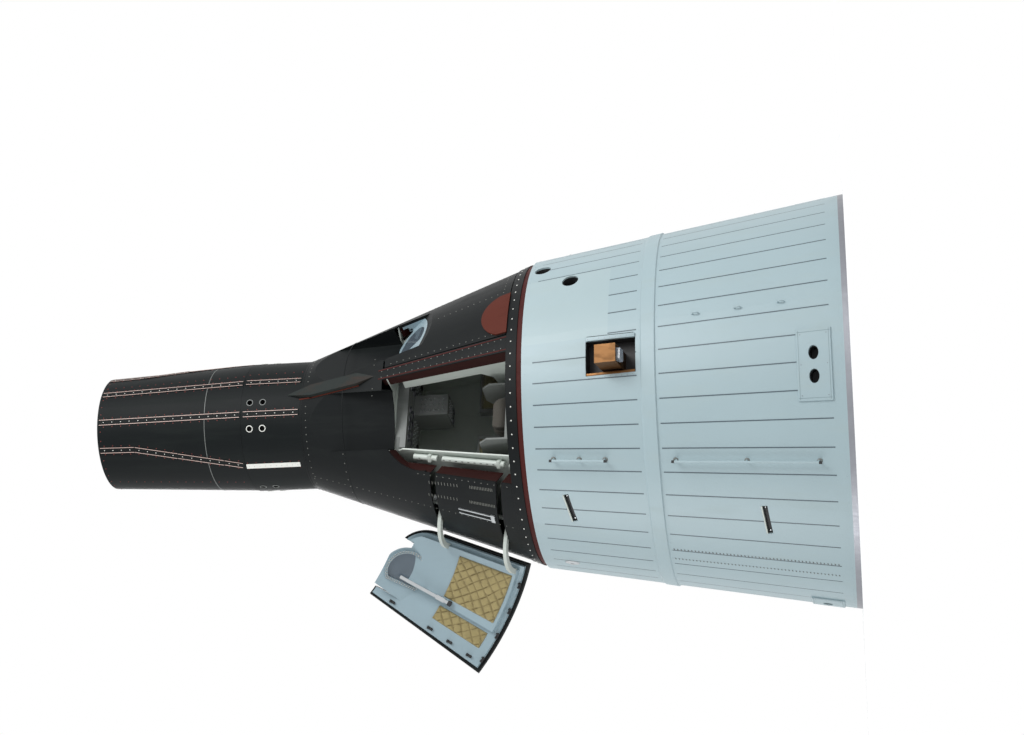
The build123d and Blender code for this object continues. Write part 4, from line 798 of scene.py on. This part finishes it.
# Seat cushions: a back cushion and a lap cushion on each seat, sewn in bands
SEAT_X = 0.330
cushion_low, cushion_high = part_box("seat_cushions")
CUSHION_WIDTH = cushion_high.x - SEAT_X
LAP_THICKNESS = 0.045
BACK_THICKNESS = 0.050
LAP_GAP = 0.006
LAP_START = 0.062
LAP_END = 0.002
back_length = cushion_high.y - cushion_low.y - LAP_THICKNESS - LAP_GAP
lap_length = cushion_high.z - cushion_low.z - LAP_START - LAP_END
seat_meshes = []
for way in (-1, 1):
    left_x = way * SEAT_X - CUSHION_WIDTH

    def on_lap(u, v, h, left_x=left_x):
        return Vector((left_x + u, cushion_high.y - h, cushion_low.z + LAP_START + v))

    back = pad_grid(lying(left_x, cushion_low.y, cushion_low.z), 2 * CUSHION_WIDTH, back_length, BACK_THICKNESS,
                    bands(0.128, 0.02), step=0.013, rim=0.04)
    lap = pad_grid(on_lap, 2 * CUSHION_WIDTH, lap_length, LAP_THICKNESS, bands(0.145, 0.02), step=0.013, rim=0.04)
    seat_meshes += [puffed(back, pressure=4.0, cap=0.018), puffed(lap, pressure=4.0, cap=0.016)]
soft_piece("sewn_seat_cushions", joined(seat_meshes), OLIVE_CLOTH, "capsule", ["seat_cushions"])

# Headrests: a padded block on each seat's top
rest_low, rest_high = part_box("headrests")
REST_WIDTH = 0.250
rest_meshes = []
for way in (-1, 1):
    on_rest = lying(way * SEAT_X - REST_WIDTH / 2, rest_low.y, rest_low.z)
    pad = pad_grid(on_rest, REST_WIDTH, rest_high.y - rest_low.y, rest_high.z - rest_low.z, bands(0.085),
                   step=0.011, rim=0.05, slack=0.88)
    rest_meshes.append(puffed(pad, pressure=3.0, cap=0.012))
soft_piece("padded_headrests", joined(rest_meshes), DARK_LEATHER, "capsule", ["headrests"])

# Quilted pads on the side walls beside the seats
side_low, side_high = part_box("side_pads")
SIDE_LEAN = CABIN_SLOPE * 0.62
SIDE_THICKNESS = 0.024
side_meshes = []
for way in (-1, 1):

    def on_wall(u, v, h, way=way):
        outer = side_high.x - SIDE_LEAN * v - 0.0025
        lean = 1.0 - 0.10 * v / (side_high.z - side_low.z)
        return Vector((way * (outer - h), side_high.y - u * lean, side_low.z + v))

    pad = pad_grid(on_wall, side_high.y - side_low.y - 0.004, side_high.z - side_low.z, SIDE_THICKNESS,
                   diamonds(0.07), step=0.009, rim=0.02, slack=0.5)
    side_meshes.append(puffed(pad, pressure=4.0, cap=0.009))
soft_piece("quilted_side_pads", joined(side_meshes), OLIVE_CLOTH, "capsule", ["side_pads"])

# Latch claws along the inner and aft edges of each hatch
claw = joined([block((0.020, 0.048, 0.007), (0, 0, 0.0035), 0.002, 1),
               block((0.012, 0.014, 0.024), (0, -0.014, 0.012), 0.003, 1),
               block((0.024, 0.010, 0.008), (-0.004, 0.014, 0.011), 0.002, 1),
               rod_between((-0.011, -0.014, 0.017), (0.011, -0.014, 0.017), 0.0045)])
claw_places = [in_hatch(-7.2, z, TRAY_DEPTH) for z in (2.545, 2.715, 2.885, 3.215)]
claw_places += [in_hatch(angle, 2.449, TRAY_DEPTH, 90.0) for angle in (-9.0, -20.5, -32.0, -44.0)]
both_hatches("latch_claws", stamped(claw, claw_places), DARK)

# Dark end block of the latch bar
bar_end = block((0.040, 0.030, 0.030), (0, 0, 0), 0.004)
bar_place = in_hatch(-22.8, 2.852, PAN_DEPTH) @ shift(0, 0, 0.022)
both_hatches("latch_bar_end", stamped(bar_end, [bar_place]), DARK)

# Window ring's two rows of screws, on the window's plane
WINDOW_ANGLE = -27.0
WINDOW_START = spot(WINDOW_ANGLE, 0.560, 3.380)
WINDOW_END = spot(WINDOW_ANGLE, cabin(3.040), 3.040)
WINDOW_MIDDLE = 0.228
WINDOW_RADIUS = 0.140
WINDOW_FLAT = 0.085
WINDOW_RING_LEVEL = -0.028
window_across = Vector((math.cos(math.radians(WINDOW_ANGLE)), math.sin(math.radians(WINDOW_ANGLE)), 0.0))
window_up = (WINDOW_START - WINDOW_END).normalized()
window_place = axes_at(WINDOW_START - window_up * WINDOW_MIDDLE, window_across, window_up,
                       window_across.cross(window_up))


def window_row(outside, count):
    """Places round the window at a distance outside its outline, a circle with one flat side."""
    places = []
    for index in range(count):
        turn = 2 * math.pi * (index + 0.5) / count
        x = min(WINDOW_FLAT + outside, (WINDOW_RADIUS + outside) * math.cos(turn))
        y = (WINDOW_RADIUS + outside) * math.sin(turn)
        places.append(window_place @ shift(x, y, WINDOW_RING_LEVEL) @ rotation(180.0, "Y"))
    return places


screw_places = window_row(0.0065, 44) + window_row(0.0175, 48)
both_hatches("window_screws", stamped(rivet_head(0.0042, 0.0030), screw_places), RIVET_WHITE)
# Painted shade: a darker disc under each screw stands for the shade in its well
both_hatches("window_screw_wells", stamped(rivet_head(0.0078, 0.0012), screw_places), SCREW_WELL_SHADE)

# Screws along the hatch tray's edges and the pan's edge
tray_places = [in_hatch(angle, 2.50 + pitch * index, TRAY_DEPTH)
               for index in range(16) for angle, pitch in ((-5.5, 0.05), (-51.0, 0.038))]
tray_places += [in_hatch(-8.0 - 3.05 * index, 2.446, TRAY_DEPTH) for index in range(14)]
both_hatches("tray_screws", stamped(rivet_head(0.0032, 0.0020), tray_places), STEEL)

# Rows on the black cabin skin: short beads beside the hinges, fasteners round the openings
BEAD_ROWS = ((-58.5, 2.57, -58.8, 2.74, 0.0125), (-59.2, 2.84, -60.0, 3.06, 0.027),
             (-66.5, 2.57, -66.8, 2.76, 0.0125), (-67.0, 2.86, -67.8, 3.08, 0.027))
bead_places = both_sides([place for run in BEAD_ROWS for place in row(cabin, *run)])
finished("skin_beads", stamped(block((0.026, 0.0042, 0.004), (0, 0, 0.001), 0.0014, 1), bead_places),
         RIVET_DULL)
FASTENER_ROWS = ((-56.0, 2.45, -56.0, 3.14), (-1.9, 2.45, -1.9, 3.40), (-8.0, 3.47, -30.0, 3.47),
                 (-76.5, 2.46, -77.5, 4.02), (-12.0, 4.03, -60.0, 4.03), (-60.0, 4.03, -178.0, 4.03),
                 (-1.5, 4.045, 1.5, 4.045), (-100.0, 2.46, -101.0, 4.0), (-128.0, 2.46, -128.5, 4.0),
                 (-156.0, 2.46, -156.0, 4.0), (-14.0, 3.735, -178.0, 3.735))
FASTENER_PITCH = 0.052


def on_trough(place):
    """Whether a place on the cabin's skin falls in the left window trough."""
    x, y, z = place.translation
    return 3.36 < z < 3.99 and -43.0 < math.degrees(math.atan2(x, -y)) < -13.0


fastener = rivet_head(0.0040, 0.0018)
fastener_places = [place for place in rows(cabin, FASTENER_ROWS, FASTENER_PITCH) if not on_trough(place)]
finished("skin_fasteners", stamped(fastener, both_sides(fastener_places)), RIVET_DULL)

# Fasteners along the edges of each hatch's outer skin
HATCH_ROWS = ((-5.6, 2.475, -5.6, 3.330), (-51.6, 2.475, -51.6, 3.020), (-9.0, 2.475, -49.0, 2.475),
              (-29.0, 2.520, -29.0, 2.990))
both_hatches("skin_fasteners", stamped(fastener, rows(cabin, HATCH_ROWS, FASTENER_PITCH)), RIVET_DULL)

# Brown edge strips at the foot of the ridge, dark-red strips along the inner edge of each opening
ridge_strips = both_sides(rows(cabin, ((-4.1, 3.60, -5.25, 3.985), (-5.25, 3.99, -4.6, 4.072)), 0.03))
finished("ridge_edges", stamped(block((0.010, 0.034, 0.004), (0, 0, 0.001)), ridge_strips), BROWN_RED)
lining_places = both_sides(row(cabin, -2.7, 2.425, -2.7, 3.395, 0.060))
finished("opening_lining", stamped(block((0.009, 0.066, 0.0016), (0, 0, 0.0006)), lining_places),
         RED_EDGE)

# Curtain: light seam tapes between the gores, a dark band inside the rim and a hub plate
GORES = 20
HUB_RADIUS = 0.090
HUB_Z = 1.420
RIM_Z = 0.060
RIM_RADIUS = adapter(RIM_Z) - 0.0123
TAPE_STEPS = 14
TAPE_HALF = 0.013
TAPE_RISE = 0.003
tapes = bmesh.new()
for index in range(GORES):
    angle = 360.0 * index / GORES + 90.0
    start = spot(angle, RIM_RADIUS - 0.006, RIM_Z - 0.005)
    run = spot(angle, HUB_RADIUS + 0.010, HUB_Z - 0.012) - start
    along = run.normalized()
    inward = (Vector((0, 0, -1)) - along * Vector((0, 0, -1)).dot(along)).normalized()
    across = along.cross(inward)
    previous = None
    for step in range(TAPE_STEPS + 1):
        wave = 0.0022 * math.sin(step * 2.1 + index)
        middle = start + run * (step / TAPE_STEPS) + inward * (0.0015 + abs(wave) * 0.5)
        line = [tapes.verts.new(point) for point in (middle - across * (TAPE_HALF + wave), middle + inward * TAPE_RISE,
                                                     middle + across * (TAPE_HALF - wave))]
        if previous:
            for side in (0, 1):
                tapes.faces.new((previous[side], previous[side + 1], line[side + 1], line[side]))
        previous = line
finished("curtain_seams", as_mesh(tapes), PALE_TAPE)
hub_outline = ((0.0, HUB_Z - 0.004), (HUB_RADIUS + 0.02, HUB_Z - 0.018), (HUB_RADIUS + 0.02, HUB_Z - 0.024),
               (0.0, HUB_Z - 0.012))
finished("curtain_hub", spun(hub_outline, 40), SILVER_FOIL)
rim_outline = [(adapter(z) - gap, z) for z, gap in ((0.046, 0.0125), (0.092, 0.0125), (0.092, 0.0185), (0.046, 0.0185))]
finished("curtain_rim_band", spun(rim_outline, 96), COAMING)

# Base ring: a washer round each of its bolt holes
BOLT_COUNT = 20
BOLT_CIRCLE = BASE_RADIUS - 0.030
bolt_places = [Matrix.Translation(spot(360.0 / BOLT_COUNT * index, BOLT_CIRCLE, 0.012)) for index in range(BOLT_COUNT)]
washer = spun(((0.0072, 0.0), (0.0125, 0.0), (0.0125, 0.0018), (0.0072, 0.0018)), 16)
finished("bolt_washers", stamped(washer, bolt_places), STEEL)

# Adapter: rows of screws round its edges and beside the band
ROUND_SCREWS = 96
screw_places = [on_skin(adapter, 360.0 / ROUND_SCREWS * index + 0.9, z)
                for z in (BAND_LOW_Z - 0.010, BAND_HIGH_Z + 0.010, 2.262, 0.062) for index in range(ROUND_SCREWS)]
finished("adapter_screws", stamped(rivet_head(0.0030, 0.0014, 6), screw_places), ADAPTER_WHITE)

# Handrails: a collar at each foot and dark caps on the ends
RAIL_ANGLE = -43.7
RAIL_SPANS = ((0.217, 1.235), (1.689, 2.099))
collar = spun(((0.0086, 0.0), (0.0185, 0.0), (0.0185, 0.003), (0.0125, 0.008), (0.0086, 0.008)), 20)
end_cap = rod_between((0, -0.010, 0.042), (0, 0.010, 0.042), 0.0098, 14)
collar_places = [on_skin(adapter, RAIL_ANGLE, z)
                 for low, high in RAIL_SPANS for z in (low + 0.020, (low + high) / 2, high - 0.020)]
cap_places = [on_skin(adapter, RAIL_ANGLE, z) for low, high in RAIL_SPANS for z in (low + 0.010, high - 0.010)]
finished("rail_collars", stamped(collar, collar_places), CABIN_GREY)
finished("rail_ends", stamped(end_cap, cap_places), DARK)

# Hoist fitting: an oval boss with a bar on each side of the adapter
boss = spun(((0.0, 0.0), (0.036, 0.0), (0.034, 0.006), (0.018, 0.011), (0.0, 0.012)), 28)
boss.transform(stretch(0.8, 1.5, 1.0))
fitting = joined([boss, block((0.010, 0.030, 0.008), (0, 0, 0.013), 0.002)])
finished("hoist_fitting", stamped(fitting, both_sides([on_skin(adapter, -94.0, 2.070)])), STEEL)

# Light recesses: a lamp glass with a pale long edge and two screws in each
RECESSES = ((-62.2, 2.000, -11.0), (-62.1, 0.619, -6.8))
recess_places = both_sides([on_skin(adapter, angle, z, 0.0, -tilt) for angle, z, tilt in RECESSES])
lamp_places = [place @ shift(0, -0.004, -0.030) for place in recess_places]
edge_bars = [place @ shift(0, 0.0185, -0.006) for place in recess_places]
recess_screws = [place @ shift(x, -0.004, -0.0215) for place in recess_places for x in (-0.098, 0.098)]
finished("recess_lamps", stamped(block((0.206, 0.030, 0.012), (0, 0, 0), 0.004), lamp_places), DARK)
finished("recess_edges", stamped(block((0.232, 0.010, 0.010), (0, 0, 0), 0.002), edge_bars),
         CABIN_WHITE)
finished("recess_screws", stamped(rivet_head(0.0055, 0.003, 12), recess_screws), STEEL)

# Horizon sensor: hinged flap on one side of its window, a copper sill on the other, screws beside both
SENSOR_Z = 1.642
SENSOR_HALF = math.radians(5.8) * adapter(SENSOR_Z)
sensor_place = on_skin(adapter, -10.7, SENSOR_Z)
for name, size, middle, bevel, material, slot in (
        ("sensor_flap", (0.030, 0.352, 0.006), (SENSOR_HALF + 0.014, 0, 0.003), 0.002, ADAPTER_WHITE, "adapter_white"),
        ("sensor_flap_line", (0.004, 0.340, 0.003), (SENSOR_HALF + 0.032, 0, 0.0015), 0.001, DARK, "dark"),
        ("sensor_sill", (0.020, 0.352, 0.012), (0.010 - SENSOR_HALF, 0, -0.010), 0.003, COPPER, "copper")):
    finished(name, stamped(block(size, middle, bevel), [sensor_place]), material)
sensor_screws = [sensor_place @ shift(x, -0.16 + 0.04 * index, lift)
                 for index in range(9) for x, lift in ((-SENSOR_HALF - 0.016, 0.0), (SENSOR_HALF + 0.014, 0.006))]
finished("sensor_screws", stamped(rivet_head(0.0032, 0.0018), sensor_screws), RING_METAL)

# Thruster panels on the adapter: a raised line round each and screws in its corners
PANELS = (-18.5, 71.5, 161.5, -108.5)
PANEL_HALF = 9.5
LINE_INSET = 0.75
SCREW_INSET = 1.4
PANEL_PROUD = shift(0, 0, 0.0095)
line_places = []
panel_screws = []
for middle in PANELS:
    left, right = middle - PANEL_HALF, middle + PANEL_HALF
    for angle in (left + LINE_INSET, right - LINE_INSET):
        upright = row(adapter, angle, 0.142, angle, 0.342, 0.0235)
        line_places += [place @ PANEL_PROUD @ stretch(0.003, 0.0235, 0.002) for place in upright]
    for z in (0.140, 0.344):
        level = row(adapter, left + LINE_INSET, z, right - LINE_INSET, z, 0.024)
        line_places += [place @ PANEL_PROUD @ stretch(0.0245, 0.003, 0.002) for place in level]
    panel_screws += [on_skin(adapter, angle, z, 0.010)
                     for angle in (left + SCREW_INSET, middle, right - SCREW_INSET) for z in (0.155, 0.330)]
finished("panel_grooves", stamped(block((1, 1, 1)), line_places), SEAM_PAINT)
finished("panel_screws", stamped(rivet_head(0.0036, 0.002), panel_screws), RING_METAL)

# Screws along the white bars on the thruster cylinder
bar_screws = [place @ shift(0, 0, 0.0085) for place in row(cylinder, -64.0, 4.13, -64.0, 4.51, 0.042)]
finished("bar_screws", stamped(rivet_head(0.0030, 0.0016), both_sides(bar_screws, HALF_TURN)),
         CABIN_GREY)

# Rims of the thruster pairs on the cylinder: white on the slanted pairs, grey on the dark ones
rim_ring = spun(((0.0205, 0.0), (0.0262, 0.0), (0.0262, 0.0026), (0.0240, 0.0042), (0.0205, 0.0042)), 28)
for name, pair, lift, material, slot in (("nozzle_rims", -29.0, 0.0, RIVET_WHITE, "cabin_white"),
                                         ("nozzle_edges", -5.5, -0.0008, CABIN_GREY, "cabin_grey")):
    ring_places = [on_skin(cylinder, pair + turn, z, lift) for turn in (0, 90, 180, -90) for z in (4.471, 4.371)]
    finished(name, stamped(rim_ring, ring_places), material)

# Sill bars inside the openings: brackets, and small dark plates that paint the shade inside slots, clear of the hinge
# arms' way
SILL_ANGLE = -50.6
SILL_SHARE = 0.845
ARM_CROSSINGS = (2.458, 2.975)
BRACKET_HEIGHTS = (2.520, 3.055)
SLOT_PITCH = 0.048
SLOT_CLEARANCE = 0.030


def on_sill(z):
    """Place on the middle of the left sill bar."""
    place = on_skin(cabin, SILL_ANGLE, z)
    place.translation = spot(SILL_ANGLE, cabin(z) * SILL_SHARE, z)
    return place


bracket = joined([block((0.058, 0.030, 0.044), (0, 0, 0), 0.004),
                  block((0.030, 0.012, 0.020), (0, 0.016, 0.012), 0.003)])
finished("sill_brackets", stamped(bracket, both_sides([on_sill(z) for z in BRACKET_HEIGHTS])),
         CABIN_WHITE)
slot_heights = [2.46 + SLOT_PITCH * index for index in range(15)]
slot_places = [on_sill(z) @ shift(0, 0, 0.0215) for z in slot_heights
               if min(abs(z - taken) for taken in ARM_CROSSINGS + BRACKET_HEIGHTS) >= SLOT_CLEARANCE]
# Painted shade: dark plates stand for the shade inside each slot
finished("sill_slots", stamped(block((0.006, 0.018, 0.0022), (0, 0, 0), 0.001, 1), both_sides(slot_places)),
         DARK)

# Instrument panel: round dials, square displays and rows of toggle switches, all without words
PANEL_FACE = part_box("instrument_panel")[0].z
dial = joined([spun(((0.026, 0.0), (0.032, 0.0), (0.032, 0.006), (0.026, 0.006)), 28),
               block((0.002, 0.020, 0.001), (0, 0.008, 0.0025))])
dial_face = spun(((0.0, 0.0), (0.0262, 0.0), (0.0262, 0.0016), (0.0, 0.0016)), 28)
toggle = joined([spun(((0.0, 0.0), (0.006, 0.0), (0.005, 0.003), (0.0, 0.003)), 10),
                 rod_between((0, 0, 0), (0, 0.004, 0.017), 0.0016, 8)])
display = joined([block((0.120, 0.050, 0.006), (0, 0, 0.003), 0.002), block((0.100, 0.034, 0.002), (0, 0, 0.0068))])
FACE_DOWN = rotation(180.0, "X")
FACE_OUT = rotation(90.0, "X")
dial_places = []
toggle_places = []
screen_places = []
for way in (-1, 1):
    dial_places += [shift(way * (0.095 + 0.078 * column), -0.345 + 0.082 * line, PANEL_FACE) @ FACE_DOWN
                    for column in range(4) for line in range(2)]
    toggle_places += [shift(way * (0.075 + 0.036 * column), -0.185 + 0.045 * line, PANEL_FACE) @ FACE_DOWN
                      for column in range(9) for line in range(3)]
    screen_places.append(shift(way * 0.300, -0.055, PANEL_FACE) @ FACE_DOWN)

# Centre console: switches under and before it, two dials at its back
console_low, console_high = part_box("centre_console")
console_middle = (console_low.x + console_high.x) / 2
toggle_places += [shift(console_middle + 0.030 * column, console_low.y + 0.05 + 0.030 * line, console_low.z) @ FACE_DOWN
                  for column in range(-2, 3) for line in range(4)]
dial_places += [shift(console_middle + 0.040 * column, console_low.y + 0.05 + 0.145, console_low.z) @ FACE_DOWN
                for column in (-1, 1)]
toggle_places += [shift(console_middle + 0.045 * column, console_low.y, console_low.z + 0.035 + 0.034 * line) @ FACE_OUT
                  for column in range(-1, 2) for line in range(6)]
finished("dial_rings", stamped(dial, dial_places), RING_METAL)
finished("dial_faces", stamped(dial_face, dial_places), DARK)
finished("toggles", stamped(toggle, toggle_places), STEEL)
finished("displays", stamped(display, screen_places), DARK)

# Floor: a pale round that fades to white far out and isn't seen from below
FLOOR_RADIUS = 60.0
FLOOR_GLOW = 0.16
FADE_START = 2.2
FADE_END = 6.5
WHITE = (1, 1, 1, 1)


def shows_itself(tree):
    """1 for rays from the camera, from mirrors and through glass, 0 for rays that only light other things."""
    path = shader_node(tree, "ShaderNodeLightPath", {})
    direct = calc(tree, "MAXIMUM", path["Is Camera Ray"], path["Is Glossy Ray"])
    return calc(tree, "MAXIMUM", direct, path["Is Transmission Ray"])


bm = bmesh.new()
bmesh.ops.create_circle(bm, cap_ends=True, segments=64, radius=FLOOR_RADIUS)
floor = bpy.data.objects.new("floor", as_mesh(bm))
bpy.context.scene.collection.objects.link(floor)
floor_material, tree, surface = new_material("floor_pale")
link_or_set(tree, surface, {"Base Color": (0.80, 0.80, 0.80, 1.0), "Roughness": 0.9})
seen = shows_itself(tree)
glow = shader_node(tree, "ShaderNodeEmission", {"Color": WHITE, "Strength": times(tree, seen, FLOOR_GLOW)})[0]
near = shader_node(tree, "ShaderNodeAddShader", {0: tree.nodes["Principled BSDF"].outputs[0], 1: glow})[0]
far = shader_node(tree, "ShaderNodeEmission", {"Color": WHITE, "Strength": 1.0})[0]
fade = times(tree, remap(tree, polar(tree)[1], FADE_START, FADE_END), seen)
lit = shader_node(tree, "ShaderNodeMixShader", {0: fade, 1: near, 2: far})[0]
clear = shader_node(tree, "ShaderNodeBsdfTransparent", {})[0]
below = shader_node(tree, "ShaderNodeNewGeometry", {})["Backfacing"]
see_through = shader_node(tree, "ShaderNodeMixShader", {0: below, 1: lit, 2: clear})[0]
tree.links.new(see_through, tree.nodes["Material Output"].inputs["Surface"])
floor.data.materials.append(floor_material)

# Pale surroundings: white where they are seen, half as bright where they light the capsule
SKY_LIGHT = 0.5
world = bpy.data.worlds.new("pale_world")
bpy.context.scene.world = world
world.use_nodes = True
tree = world.node_tree
strength = calc(tree, "MULTIPLY_ADD", shows_itself(tree), 1.0 - SKY_LIGHT, SKY_LIGHT)
link_or_set(tree, tree.nodes["Background"].inputs, {"Color": WHITE, "Strength": strength})

LAMP_DISTANCE = 9.0
LAMP_SIZE = 5.0
LAMP_AIM = Vector((0, 0, 2.8))


def soft_light(name, angle, height, power):
    """Square lamp that looks at the object's middle height."""
    lamp = bpy.data.lights.new(name, "AREA")
    lamp.shape = "SQUARE"
    lamp.size = LAMP_SIZE
    lamp.energy = power
    holder = bpy.data.objects.new(name, lamp)
    holder.location = spot(angle, LAMP_DISTANCE, height)
    holder.rotation_euler = (LAMP_AIM - holder.location).to_track_quat("-Z", "Y").to_euler()
    bpy.context.scene.collection.objects.link(holder)


soft_light("key", 15.0, 7.5, 760.0)
soft_light("fill", -95.0, 4.5, 300.0)
soft_light("back", 160.0, 6.5, 380.0)

# The camera stands where the photograph's does, brought down to the floor and rolled so the nose points left
CAMERA_ANGLE = -28.5
CAMERA_DISTANCE = 14.97
CAMERA_HEIGHT = 0.03
CAMERA_RISE = math.radians(9.5)
CAMERA_ASIDE = math.radians(1.4)
CAMERA_ROLL = math.radians(2.6)
CAMERA_LENS = 70.3
camera_data = bpy.data.cameras.new("camera")
camera_data.lens = CAMERA_LENS
camera_data.sensor_width = 36.0
camera = bpy.data.objects.new("camera", camera_data)
bpy.context.scene.collection.objects.link(camera)
bpy.context.scene.camera = camera
ahead = Vector((math.sin(CAMERA_ASIDE), math.cos(CAMERA_RISE), math.sin(CAMERA_RISE))).normalized()
image_right = Vector((-1.0, 0.0, 0.0)).cross(ahead).normalized()
image_right = image_right if image_right.z < 0 else -image_right
image_right = Matrix.Rotation(CAMERA_ROLL, 3, ahead) @ image_right
image_up = image_right.cross(ahead).normalized()
turned = rotation(CAMERA_ANGLE).to_3x3()
camera.matrix_world = axes_at(spot(CAMERA_ANGLE, CAMERA_DISTANCE, CAMERA_HEIGHT), turned @ image_right,
                              turned @ image_up, turned @ -ahead)
bpy.context.scene.view_settings.view_transform = "Standard"
